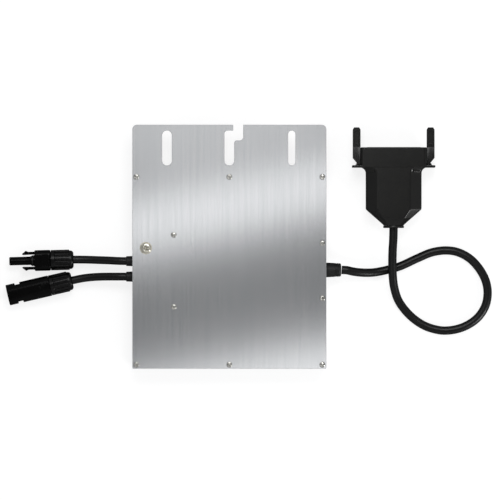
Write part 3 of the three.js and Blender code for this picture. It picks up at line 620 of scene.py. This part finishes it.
# Geometry Nodes trees that repeat a small part
def newTree(name, sockets):
    tree = bpy.data.node_groups.new(name, "GeometryNodeTree")
    tree.interface.new_socket("Geometry", in_out="INPUT", socket_type="NodeSocketGeometry")
    for title, kind in sockets:
        tree.interface.new_socket(title, in_out="INPUT", socket_type=kind)
    tree.interface.new_socket("Geometry", in_out="OUTPUT", socket_type="NodeSocketGeometry")
    return tree, addNode(tree, "NodeGroupInput"), addNode(tree, "NodeGroupOutput")


def runTree(made, tree, values):
    modifier = made.modifiers.new(tree.name, "NODES")
    modifier.node_group = tree
    for item in tree.interface.items_tree:
        if item.item_type == "SOCKET" and item.in_out == "INPUT" and item.name in values:
            modifier[item.identifier] = values[item.name]
    return makePlain(made)


# Copies of a part on each point, each turned about Z by its own share of Most turn.
def repeatOnPoints():
    tree, given, result = newTree("repeatOnPoints", [
        ("Part", "NodeSocketObject"), ("Size", "NodeSocketFloat"), ("Most turn", "NodeSocketFloat"),
        ("Seed", "NodeSocketInt"), ("Material", "NodeSocketMaterial")])
    part = addNode(tree, "GeometryNodeObjectInfo", {"As Instance": True}, {"Object": given.outputs["Part"]})
    turn = addNode(tree, "FunctionNodeRandomValue", {"data_type": "FLOAT", 2: 0.0},
                   {3: given.outputs["Most turn"], "Seed": given.outputs["Seed"]})
    about = addNode(tree, "ShaderNodeCombineXYZ", {}, {"Z": turn.outputs[1]})
    spreadOut = addNode(tree, "GeometryNodeInstanceOnPoints", {}, {
        "Points": given.outputs["Geometry"], "Instance": part.outputs["Geometry"],
        "Rotation": about.outputs[0], "Scale": given.outputs["Size"]})
    solid = addNode(tree, "GeometryNodeRealizeInstances", {}, {"Geometry": spreadOut.outputs[0]})
    coloured = addNode(tree, "GeometryNodeSetMaterial", {}, {
        "Geometry": solid.outputs[0], "Material": given.outputs["Material"]})
    tree.links.new(coloured.outputs[0], result.inputs[0])
    return tree


# Ribs set round the X axis at Radius, added to the body they stand on.
def ribsRoundAxis():
    tree, given, result = newTree("ribsRoundAxis", [
        ("Rib", "NodeSocketObject"), ("Count", "NodeSocketInt"), ("Radius", "NodeSocketFloat"),
        ("Material", "NodeSocketMaterial")])
    count, radius = given.outputs["Count"], given.outputs["Radius"]
    points = addNode(tree, "GeometryNodePoints", {}, {"Count": count})
    number = addNode(tree, "GeometryNodeInputIndex")
    share = addNode(tree, "ShaderNodeMath", {"operation": "DIVIDE"}, {0: number.outputs[0], 1: count})
    angle = addNode(tree, "ShaderNodeMath", {"operation": "MULTIPLY", 1: math.tau}, {0: share.outputs[0]})
    cosine = addNode(tree, "ShaderNodeMath", {"operation": "COSINE"}, {0: angle.outputs[0]})
    sine = addNode(tree, "ShaderNodeMath", {"operation": "SINE"}, {0: angle.outputs[0]})
    across = addNode(tree, "ShaderNodeMath", {"operation": "MULTIPLY"}, {0: cosine.outputs[0], 1: radius})
    above = addNode(tree, "ShaderNodeMath", {"operation": "MULTIPLY"}, {0: sine.outputs[0], 1: radius})
    place = addNode(tree, "ShaderNodeCombineXYZ", {}, {"Y": across.outputs[0], "Z": above.outputs[0]})
    about = addNode(tree, "ShaderNodeCombineXYZ", {}, {"X": angle.outputs[0]})
    placed = addNode(tree, "GeometryNodeSetPosition", {}, {
        "Geometry": points.outputs[0], "Position": place.outputs[0]})
    rib = addNode(tree, "GeometryNodeObjectInfo", {"As Instance": True}, {"Object": given.outputs["Rib"]})
    ribs = addNode(tree, "GeometryNodeInstanceOnPoints", {}, {
        "Points": placed.outputs[0], "Instance": rib.outputs["Geometry"], "Rotation": about.outputs[0]})
    solid = addNode(tree, "GeometryNodeRealizeInstances", {}, {"Geometry": ribs.outputs[0]})
    whole = addNode(tree, "GeometryNodeJoinGeometry")
    tree.links.new(solid.outputs[0], whole.inputs[0])
    tree.links.new(given.outputs["Geometry"], whole.inputs[0])
    coloured = addNode(tree, "GeometryNodeSetMaterial", {}, {
        "Geometry": whole.outputs[0], "Material": given.outputs["Material"]})
    tree.links.new(coloured.outputs[0], result.inputs[0])
    return tree


repeatTree = repeatOnPoints()
ribTree = ribsRoundAxis()


# A piece of one part repeated at the given places. The part itself is used up.
def repeatPart(name, part, places, mostTurn, seed, material):
    mesh = bpy.data.meshes.new(name)
    mesh.from_pydata([tuple(Vector(p) * mm) for p in places], [], [])
    made = bpy.data.objects.new(name, mesh)
    bpy.context.collection.objects.link(made)
    runTree(made, repeatTree, {"Part": part, "Size": 1.0, "Most turn": mostTurn, "Seed": seed,
                               "Material": materials[material]})
    bpy.data.objects.remove(part)
    return made


# The lid screws, and the larger earth screw on its washer. Each stands a hair above what it seats on.
screwSizes = {"head": 2.6, "rise": 1.4, "shank": 1.45, "length": 8, "cross": 1.2, "slotWidth": 0.6}
groundSizes = {"head": 4.7, "rise": 2.3, "shank": 2.4, "length": 11, "cross": 2.0, "slotWidth": 0.9}
washerSizes = {"inner": 2.75, "outer": 5.5, "thick": 0.8, "edge": 0.15}
seat = plateSizes["high"] + 0.05


# A pan-head screw standing on z = 0, with a cross recess that narrows downwards.
def screwShape(name, s):
    head, rise, shank, length = s["head"], s["rise"], s["shank"], s["length"]
    profile = [(0, -length), (shank * 0.6, -length), (shank, -length + 0.8), (shank, 0),
               (head - 0.12, 0), (head, 0.12), (head, rise * 0.3)]
    for k in range(1, 7):
        a = math.pi / 2 * k / 6
        profile.append((head * (0.6 + 0.4 * math.cos(a)), rise * (0.3 + 0.7 * math.sin(a))))
    profile.append((0, rise))
    screw = makeObject(name, moved(turned(profile, 40), upright))
    arm, half = s["cross"], s["slotWidth"] / 2
    cross = outline([(arm, -half), (arm, half), (half, half), (half, arm), (-half, arm), (-half, half),
                     (-arm, half), (-arm, -half), (-half, -half), (-half, -arm), (half, -arm), (half, -half)])
    top = [(p.x * 1.12, p.y * 1.12, rise + 0.5) for p in cross]
    bottom = [(p.x * 0.62, p.y * 0.62, rise * 0.05) for p in cross]
    return cutAway(screw, [skin([bottom, top])], 30)


def makeScrews():
    part = screwShape("lidScrew", screwSizes)
    places = [(x, y, seat) for x, y in lidScrewPlaces]
    screws = repeatPart("lidScrews", part, places, math.tau, 7, "zincPlatedSteel")
    finishPiece(screws, "inverter", [f"lid_screw_{k + 1}" for k in range(10)])


def makeGroundScrew():
    inner, outer, thick, edge = (washerSizes[key] for key in ("inner", "outer", "thick", "edge"))
    profile = [(inner, 0), (outer - edge, 0), (outer, edge), (outer, thick - edge), (outer - edge, thick),
               (inner, thick)]
    lifted = Matrix.Translation((*groundPlace, seat)) @ upright
    washer = makeObject("groundWasher", turned(profile, ring=True), "nickelPlatedSteel", lifted)
    finishPiece(washer, "inverter", ["ground_washer"])
    part = screwShape("groundPart", groundSizes)
    places = [(*groundPlace, seat + thick + 0.05)]
    screw = repeatPart("groundScrew", part, places, 0.4, 3, "nickelPlatedSteel")
    finishPiece(screw, "inverter", ["ground_screw"])


makeScrews()
makeGroundScrew()
print("screws ready")

# Strain reliefs about their own X, with x = 0 at the tub's wall: a flange inside it and a boot outside it.
dcRelief = {"turn": 180, "boot": 4.55, "tip": 4.35, "reach": 6.2, "neck": 3.7, "flange": 5.3, "inside": 2.2,
            "ridges": 0, "round": 0.6}
reliefSizes = {
    "dcReliefUpper": {"node": "dc_strain_relief_upper", "place": (-85, -12.7, 15), **dcRelief},
    "dcReliefLower": {"node": "dc_strain_relief_lower", "place": (-85, -26.4, 15), **dcRelief},
    "acRelief": {"node": "ac_strain_relief", "place": (85, -20.5, 14), "turn": 0, "boot": 6.5, "tip": 5.9,
                 "reach": 13.7, "neck": 5.2, "flange": 7.2, "inside": 2.6, "ridges": 3, "round": 1.5},
}


def makeRelief(name, s):
    reach, boot, tip, edge = s["reach"], s["boot"], s["tip"], s["round"]
    neck, flange = s["neck"], s["flange"]
    inner, start = -2.9, 0.6
    low = inner - s["inside"]
    profile = [(0, low), (flange, low), (flange, inner), (neck, inner), (neck, 0.3), (boot - 0.3, 0.3),
               (boot, start)]
    for k in range(s["ridges"]):  # grooves 0.4 mm deep, on a boot that narrows towards its tip
        x = 8 + k * 1.4
        here = boot + (tip - boot) * (x - start) / (reach - start)
        profile += [(here, x), (here - 0.4, x + 0.15), (here - 0.4, x + 0.45), (here, x + 0.6)]
    for k in range(5):
        a = math.pi / 2 * k / 4
        profile.append((tip - edge + edge * math.cos(a), reach - edge + edge * math.sin(a)))
    profile.append((0, reach))
    place = Matrix.Translation(s["place"]) @ Matrix.Rotation(math.radians(s["turn"]), 4, "Z")
    made = makeObject(name, turned(profile, 40), "mouldedRubber", place, 40)
    return finishPiece(made, "inverter", [s["node"]])


reliefPieces = {name: makeRelief(name, relief) for name, relief in reliefSizes.items()}
print("strain reliefs ready")

# Direct-current connectors: each is made along X, with x = 0 at the end of its nut that the lead enters.
plugPlace = Matrix.Translation((-137.8, -11.4, 9)) @ Matrix.Rotation(math.radians(181.5), 4, "Z")
socketPlace = Matrix.Translation((-139, -29.8, 9)) @ Matrix.Rotation(math.radians(193), 4, "Z")
nutSizes = {
    "radius": 9, "length": 20, "wall": 3, "bore": 4.3, "cavity": 7.3, "nose": 2.6, "gripStart": 4.2, "band": 16.4,
    "ribs": 14, "ribWidth": 2, "ribDepth": 0.8, "ribStart": 3.6, "ribLength": 13.4,
}


def makeNut(name, place, body, node):
    s = nutSizes
    bore, cavity, wall, length, band = s["bore"], s["cavity"], s["wall"], s["length"], s["band"]
    base = s["radius"] - s["ribDepth"]
    corners = [(bore, 0, 0.3), (base, 0, s["nose"]), (base, s["gripStart"], 1), (base, band, 0.3),
               (s["radius"], band + 0.5, 0.3), (s["radius"], length, 0.4), (cavity, length, 0.2),
               (cavity, wall, 0.3), (bore, wall, 0.2)]
    nut = makeObject(name, turned(softProfile(corners), 72, ring=True), "gripNylon")
    middle = s["ribStart"] + s["ribLength"] / 2
    loop = rectangle(s["ribLength"], s["ribWidth"], s["ribWidth"] / 2 - 0.01, middle)
    rib = makeObject("rib", slab(loop, -s["ribDepth"], s["ribDepth"], 0.45),
                     place=Matrix.Rotation(math.pi / 2, 4, "X"))
    runTree(nut, ribTree, {"Rib": rib, "Count": s["ribs"], "Radius": base * mm,
                           "Material": materials["gripNylon"]})
    bpy.data.objects.remove(rib)
    settle(nut, place)
    return finishPiece(nut, body, [node])


plugNut = makeNut("plugNut", plugPlace, "plug_union_nut", "dc_plug_nut")
socketNut = makeNut("socketNut", socketPlace, "socket_union_nut", "dc_socket_nut")

# The threaded spigot that each nut turns on. Profiles list (radius, place) along the connector.
glandSizes = {
    "spigot": [(4.8, 9), (6.7, 9), (6.9, 9.3), (6.9, 21.4), (4.8, 21.4)],
    "threads": 5, "pitch": 1.5, "firstThread": 10.5, "root": 6.6, "crest": 7.15,
}
plugSizes = {
    "low": 20.25, "high": 34.4, "width": 18.4, "depth": 15, "corner": 5, "edge": 1.1,
    "cuts": [
        {"middle": (33.15, 6.4, 0), "size": (7.7, 3.8, 6.2), "edge": 0.2, "axis": 1},  # at the latch roots
        {"middle": (30.6, 0, 7.5), "size": (3.2, 3.2, 1), "edge": 0.2, "axis": 2},  # windows
        {"middle": (25, 0, 7.5), "size": (5.2, 11, 0.7), "edge": 0.3, "axis": 2},  # grips
    ],
    "bore": [(0, 15), (5, 15), (5, 19), (4.2, 19.5), (4.2, 33), (2.9, 33.2), (2.9, 40), (0, 40)],
    "boreSides": 48,
    "rings": [
        [(2.9, 32), (4.3, 32), (4.3, 37.4), (4, 37.8), (3.75, 38.2), (3.75, 42), (3.7, 42.3), (3.7, 55.9),
         (3.3, 56.7), (2.9, 56.7)],  # nose
        [(4.1, 34.2), (5, 34.2), (5, 35.2), (4.8, 35.4), (4.1, 35.4)],  # collar round its root
    ],
    "bosses": [],
}
socketSizes = {
    "low": 20.25, "high": 58.4, "width": 18.4, "depth": 16.5, "corner": 7, "edge": 0.5,
    "cuts": [
        {"middle": (51.95, 6.75, 0), "size": (16.1, 3.1, 6.4), "edge": 0.2, "axis": 1},  # latch channels
        {"middle": (48.2, 9.8, 0), "size": (4.6, 4.4, 24), "edge": 0.3, "axis": 1},  # barb notches
        {"middle": (24.85, 0, 8.25), "size": (4.7, 10, 0.7), "edge": 0.3, "axis": 2},  # grips
    ],
    "bore": [(0, 15), (4.8, 15), (4.8, 19), (2.9, 19.3), (2.9, 33), (4.1, 33.3), (4.1, 50.9), (5.1, 51.2),
             (5.1, 60), (0, 60)],
    "boreSides": 40,
    "rings": [],
    "bosses": [-90, 90],
    "boss": [(0, 7.5), (1.5, 7.5), (1.5, 8.75), (1.2, 8.95), (0.8, 8.95), (0.7, 8.6), (0, 8.6)],
    "bossPlace": 29.6,
}


def glandShells(s):
    root, crest = s["root"], s["crest"]
    starts = [s["firstThread"] + s["pitch"] * k for k in range(s["threads"])]
    threads = [[(root, x), (crest, x + 0.35), (crest, x + 0.55), (root, x + 0.9)] for x in starts]
    return [turned(profile, ring=True) for profile in [s["spigot"], *threads]]


def makeHousing(name, s, place, node):
    loop = rectangle(s["width"], s["depth"], s["corner"])
    housing = makeObject(name, moved(slab(loop, s["low"], s["high"], s["edge"]), alongX), "connectorNylon")
    cuts = [shape for cut in s["cuts"] for shape in blockPair(**cut)]
    cutAway(housing, cuts + [turned(s["bore"], s["boreSides"])])
    shells = glandShells(glandSizes) + [turned(profile, 40, ring=True) for profile in s["rings"]]
    for turn in s["bosses"]:
        stand = Matrix.Translation((s["bossPlace"], 0, 0)) @ Matrix.Rotation(math.radians(turn), 4, "Y")
        shells.append(moved(turned(s["boss"], 24), stand))
    addShells(housing, shells)
    settle(housing, place)
    return finishPiece(housing, "inverter", [node])


plugHousing = makeHousing("plugHousing", plugSizes, plugPlace, "dc_plug_housing")

# The plug's latch arm: a flat spring with a barb near its tip, seen from above.
latchSizes = {
    "outline": [(29.7, 5.5, 0.2), (44.6, 5.2, 0.4), (45.6, 6, 0.35), (42, 8.9, 0.4), (40, 7.9, 0.3),
                (29.7, 8, 0.2)],
    "half": 2.8, "edge": 0.25,
}


def makeLatch(name, body, node, turn):
    s = latchSizes
    arm = slab(outline(s["outline"], turn=math.radians(15)), -s["half"], s["half"], s["edge"])
    latch = makeObject(name, arm, "connectorNylon", plugPlace @ Matrix.Rotation(turn, 4, "X"))
    return finishPiece(latch, body, [node])


plugLatchLower = makeLatch("plugLatchLower", "plug_latch_lower", "dc_plug_latch_lower", 0)
plugLatchUpper = makeLatch("plugLatchUpper", "plug_latch_upper", "dc_plug_latch_upper", math.pi)
socketHousing = makeHousing("socketHousing", socketSizes, socketPlace, "dc_socket_housing")
print("direct-current connectors ready")

# Alternating-current connector, along Y from the collar. A station is (y, half width, half depth, half
# width of the flat front, half depth of the side, corner radius). Sizes across are in X and Z.
acPlace = Matrix.Translation((145.05, 16.5, 13.5))
acBodySizes = {
    "stations": [
        (2.25, 8.7, 8.9, 5.2, 5.4, 1.2), (2.8, 9.1, 9.2, 5.4, 5.6, 1.4), (8, 14.9, 13.1, 8.8, 7.3, 2),
        (8.5, 15.5, 13.4, 9.1, 7.4, 2), (9, 16.1, 13.5, 9.5, 7.5, 2.4), (15.6, 23.6, 13.5, 13.9, 7.5, 3),
        (16.4, 24.3, 13.5, 14.3, 7.5, 3), (17.4, 24.6, 13.5, 14.5, 7.5, 3), (46, 24.6, 13.5, 14.5, 7.5, 3),
        (49.4, 24.7, 13.5, 14.6, 7.6, 3), (51, 25.3, 13.5, 15.2, 8.4, 3), (52.2, 26.3, 13.5, 16.2, 9.4, 3),
        (53, 27.6, 13.5, 17.4, 10.4, 2.5), (53.6, 28.2, 13.5, 18, 10.8, 2),
    ],
    "hollow": (43.4, 17.4), "hollowFloor": 49.7, "opening": (44, 18),
    "frames": [
        {"across": (58.4, 27), "corner": 2.6, "low": 53.4, "high": 71.2, "edge": 0.7},  # head
        {"across": (73.4, 26.6), "corner": 2, "low": 53.4, "high": 55.4, "edge": 0.5},  # wing
        {"across": (47.5, 21.5), "corner": 2.2, "low": 70.6, "high": 71.4, "edge": 0.3},  # lip
    ],
    "lugPlace": (20.2, 50.6, 11.1), "lugTilt": 0.52, "lugSize": (7.2, 4.4, 2.1), "lugMiddle": (0, 0.8, -0.55),
    "fillet": {"inner": 32.8, "outer": 36.6, "low": 53.6, "high": 57.3, "across": 3.6, "up": 2.9,
               "half": 12.6},
    "ledge": {"middle": (0, 7.5, 12.2), "size": (14, 1.2, 1.4), "edge": 0.3, "axis": 2},
}


def acSection(y, half, deep, panel, cheek, radius):
    corners = [(panel, -deep), (half, -cheek), (half, cheek), (panel, deep),
               (-panel, deep), (-half, cheek), (-half, -cheek), (-panel, -deep)]
    return [(p.x, y, p.y) for p in outline([(*corner, radius) for corner in corners], facets=4)]


# Small lugs stand on the body's four slanting edges, just behind the wing.
def acLugs(s):
    x, y, z = s["lugPlace"]
    lugs = []
    for side, up in ((-1, -1), (-1, 1), (1, -1), (1, 1)):
        tilt = Matrix.Translation((side * x, y, up * z)) @ Matrix.Rotation(side * up * s["lugTilt"], 4, "Y")
        a, b, c = s["lugMiddle"]
        lugs.append(moved(block((a, b, up * c), s["lugSize"], 0.45), tilt))
    return lugs


# Hollow-curved fillets between the wing and the latches.
def acFillets(s):
    angles = [math.pi / 2 * k / 5 for k in range(5)]
    curve = [(s["outer"] - s["across"] * math.sin(a), s["high"] - s["up"] * math.cos(a)) for a in angles]
    loop = [(s["inner"], s["low"]), (s["outer"], s["low"]), *curve, (s["inner"], s["high"])]
    fillet = slab([Vector(p) for p in loop], -s["half"], s["half"], 0.2)
    return [fillet, moved(fillet, Matrix.Rotation(math.pi, 4, "Y"))]


def makeAcBody(s):
    rings = [acSection(*station) for station in reversed(s["stations"])]
    body = makeObject("acBody", skin(rings), "mouldedNylon", smooth=28)
    cutAway(body, [moved(slab(rectangle(*s["hollow"], 1), s["hollowFloor"], 60, 0.2), alongY)], 28)
    opening = rectangle(*s["opening"], 1.2)
    shells = []
    for part in s["frames"]:
        loop = rectangle(*part["across"], part["corner"])
        shells.append(moved(slab(loop, part["low"], part["high"], part["edge"], [opening]), alongY))
    addShells(body, shells + acFillets(s["fillet"]) + acLugs(s) + blockPair(**s["ledge"]))
    settle(body, acPlace)
    return finishPiece(body, "inverter", ["ac_connector_body"])


# A side latch: a wide foot and arm, thinned towards the tip, with a sunk panel on each face.
acLatchSizes = {
    "outline": [
        (29.5, 55.6, 0.2), (32.5, 55.6, 0.3), (32.5, 57.5, 0.9), (36.1, 61.9, 0.6), (36.1, 86.9, 0.3),
        (34.9, 88.9, 0.5), (30.4, 88.9, 0.5), (29.25, 86.9, 0.3), (29.25, 56.3, 0.2),
    ],
    "half": 5, "edge": 0.35,
    "cuts": [
        {"middle": (32.5, 83.2, 6), "size": (15, 23.6, 4), "edge": 0.1, "axis": 2},  # thinner outer part
        {"middle": (32.65, 80.1, 4.65), "size": (4.1, 11, 2.7), "edge": 0.3, "axis": 2},  # sunk panel
        {"middle": (32.65, 72.6, 4.65), "size": (3.5, 1.4, 2.7), "edge": 0.15, "axis": 2},  # slot
    ],
}


def makeAcLatch(name, body, node, turn):
    s = acLatchSizes
    arm = slab(outline(s["outline"], turn=math.radians(15)), -s["half"], s["half"], s["edge"])
    latch = makeObject(name, arm, "mouldedNylon")
    cutAway(latch, [shape for cut in s["cuts"] for shape in blockPair(**cut)])
    settle(latch, acPlace @ Matrix.Rotation(turn, 4, "Y"))
    return finishPiece(latch, body, [node])


collarSizes = {"bore": 3.95, "rim": 9, "belly": 9.25, "height": 2.2}
pinSizes = {"radius": 1.5, "flatTip": 0.7, "low": 50.2, "shoulder": 67.2, "high": 69, "row": (-15, -5, 5, 15)}


def makeAcCollar(s):
    bore, rim, height = s["bore"], s["rim"], s["height"]
    corners = [(bore, 0, 0.2), (rim, 0, 0.5), (s["belly"], height / 2, 0.5), (rim, height, 0.5),
               (bore, height, 0.2)]
    place = acPlace @ Matrix.Rotation(math.pi / 2, 4, "Z")
    collar = makeObject("acCollar", turned(softProfile(corners), ring=True), "mouldedNylon", place)
    return finishPiece(collar, "inverter", ["ac_cable_collar"])


# Four round pins with rounded tips, in a row across the connector.
def makeAcPins(s):
    radius, flat, shoulder, high = s["radius"], s["flatTip"], s["shoulder"], s["high"]
    profile = [(0, s["low"]), (radius, s["low"]), (radius, shoulder)]
    for k in range(1, 5):
        a = math.pi / 2 * k / 4
        profile.append((flat + (radius - flat) * math.cos(a), shoulder + (high - shoulder) * math.sin(a)))
    pin = makeObject("pin", moved(turned(profile + [(0, high)], 24), Matrix.Rotation(math.pi / 2, 4, "Z")))
    places = [acPlace @ Vector((x, 0, 0)) for x in s["row"]]
    pins = repeatPart("acContactPins", pin, places, 0.0, 1, "tinPlatedCopper")
    return finishPiece(pins, "inverter", [f"ac_contact_pin_{k}" for k in (1, 2, 3, 4)])


acBody = makeAcBody(acBodySizes)
acLatchRight = makeAcLatch("acLatchRight", "ac_latch_right", "ac_latch_right", 0)
acLatchLeft = makeAcLatch("acLatchLeft", "ac_latch_left", "ac_latch_left", math.pi)
acCollar = makeAcCollar(collarSizes)
acPins = makeAcPins(pinSizes)
print("alternating-current connector ready")

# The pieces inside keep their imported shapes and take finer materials.
keptLooks = {
    "mouldedRubber": ["lid_gasket", "dc_plug_seal_ring", "ac_face_seal"],
    "dieCastAluminium": ["heat_spreader"],
    "solderResist": ["main_circuit_board", "signal_board"],
    "sinteredFerrite": ["transformer_1_core", "transformer_2_core"],
    "varnishedWinding": ["transformer_1_winding", "transformer_2_winding", "line_choke"],
    "shrunkSleeve": [f"bulk_capacitor_{k}" for k in (1, 2, 3, 4)],
    "mouldedPolyester": ["film_capacitor"],
    "mouldedEpoxy": [f"power_transistor_{k}" for k in (1, 2, 3)],
    "clearPolycarbonate": ["status_light_pipe"],
    "curedPotting": ["potting_compound"],
    "connectorNylon": ["dc_plug_clamp_ring", "dc_socket_clamp_ring"],
    "mouldedNylon": ["ac_contact_carrier"],
    "tinPlatedCopper": ["dc_plug_contact", "dc_socket_pin"],
}
for look, nodes in keptLooks.items():
    for node in nodes:
        for slot in bpy.data.objects[node].material_slots:
            slot.material = materials[look]
# The floor glows a little towards the camera only, so it stays white without lighting the object from below.
floorSizes = {"reach": 20000, "top": -0.1, "glow": 0.8}  # millimetres, and the strength of the glow


def makeFloor(s):
    tree = materials["paintedBoard"].node_tree
    shader = next(node for node in tree.nodes if node.type == "BSDF_PRINCIPLED")
    seen = addNode(tree, "ShaderNodeLightPath").outputs["Is Camera Ray"]
    glow = addNode(tree, "ShaderNodeMath", {"operation": "MULTIPLY", 1: s["glow"]}, {0: seen})
    tree.links.new(glow.outputs[0], shader.inputs["Emission Strength"])
    reach, top = s["reach"], s["top"]
    corners = [(-reach, -reach, top), (reach, -reach, top), (reach, reach, top), (-reach, reach, top)]
    makeObject("floor", (corners, [(0, 1, 2, 3)]), "paintedBoard")


makeFloor(floorSizes)

lighting = {"left": 0.5, "right": 0.6, "top": 0.19, "background": 1.0}
world = bpy.data.worlds.new("studio")
world.use_nodes = True
worldTree = world.node_tree
worldTree.nodes.clear()
direction = addNode(worldTree, "ShaderNodeTexCoord").outputs["Generated"]
height = addNode(worldTree, "ShaderNodeSeparateXYZ", {}, {0: direction}).outputs["Z"]
across = addNode(worldTree, "ShaderNodeVectorMath", {"operation": "DOT_PRODUCT", 1: (0.8, -0.6, 0)},
                 {0: direction})
side = addNode(worldTree, "ShaderNodeMapRange", {
    "From Min": -0.7, "From Max": 0.7, "To Min": lighting["left"], "To Max": lighting["right"]},
    {"Value": across.outputs["Value"]})
towardsTop = addNode(worldTree, "ShaderNodeMapRange", {
    "interpolation_type": "SMOOTHSTEP", "From Min": 0.66, "From Max": 0.92, "To Max": lighting["top"]},
    {"Value": height, "To Min": side.outputs[0]})
sky = addNode(worldTree, "ShaderNodeBackground", {"Color": linearColour("#FCFDFF")},
              {"Strength": towardsTop.outputs[0]})
backdrop = addNode(worldTree, "ShaderNodeBackground", {"Strength": lighting["background"]})
worldSeen = addNode(worldTree, "ShaderNodeLightPath").outputs["Is Camera Ray"]
shown = addNode(worldTree, "ShaderNodeMixShader", {}, {
    0: worldSeen, 1: sky.outputs[0], 2: backdrop.outputs[0]})
addNode(worldTree, "ShaderNodeOutputWorld", {}, {"Surface": shown.outputs[0]})
bpy.context.scene.world = world

# Each card is a soft rectangular light that faces a point: metres, and brightness as radiance.
cards = {
    "keyCard": {"place": (0.1, 0.75, 1.5), "faces": (0, 0, 0), "size": (0.8, 0.6), "brightness": 5.0},
    "rimCard": {"place": (0.75, -0.5, 0.33), "faces": (0.1, 0, 0), "size": (0.3, 0.18), "brightness": 18},
    "upperCard": {"place": (0, 0.186, 0.4), "turn": 11, "size": (0.28, 0.2), "brightness": 0.45},
    "bandCard": {"place": (0, 0.037, 0.4), "turn": 12, "size": (0.26, 0.05), "brightness": 1.06},
    "lowerCard": {"place": (0.005, -0.172, 0.4), "turn": 12, "size": (0.28, 0.13), "brightness": 0.93},
}


def makeCard(name, card):
    lamp = bpy.data.lights.new(name, "AREA")
    lamp.shape = "RECTANGLE"
    lamp.size, lamp.size_y = card["size"]
    lamp.energy = card["brightness"] * 4 * lamp.size * lamp.size_y
    made = bpy.data.objects.new(name, lamp)
    made.location = card["place"]
    made.rotation_euler = (0, 0, math.radians(card.get("turn", 0)))
    if "faces" in card:
        away = Vector(card["faces"]) - Vector(card["place"])
        made.rotation_euler = away.to_track_quat("-Z", "Y").to_euler()
    made.visible_camera = False
    bpy.context.collection.objects.link(made)
    if "faces" in card:
        made.light_linking.receiver_collection = allButPlate


# The two strong cards light everything but the plate, where their mirror images would burn out.
allButPlate = bpy.data.collections.new("allButPlate")
allButPlate.objects.link(mountingPlate)
allButPlate.collection_objects[0].light_linking.link_state = "EXCLUDE"
for cardName, card in cards.items():
    makeCard(cardName, card)
bpy.context.scene.view_settings.view_transform = "Standard"
print("stage ready")
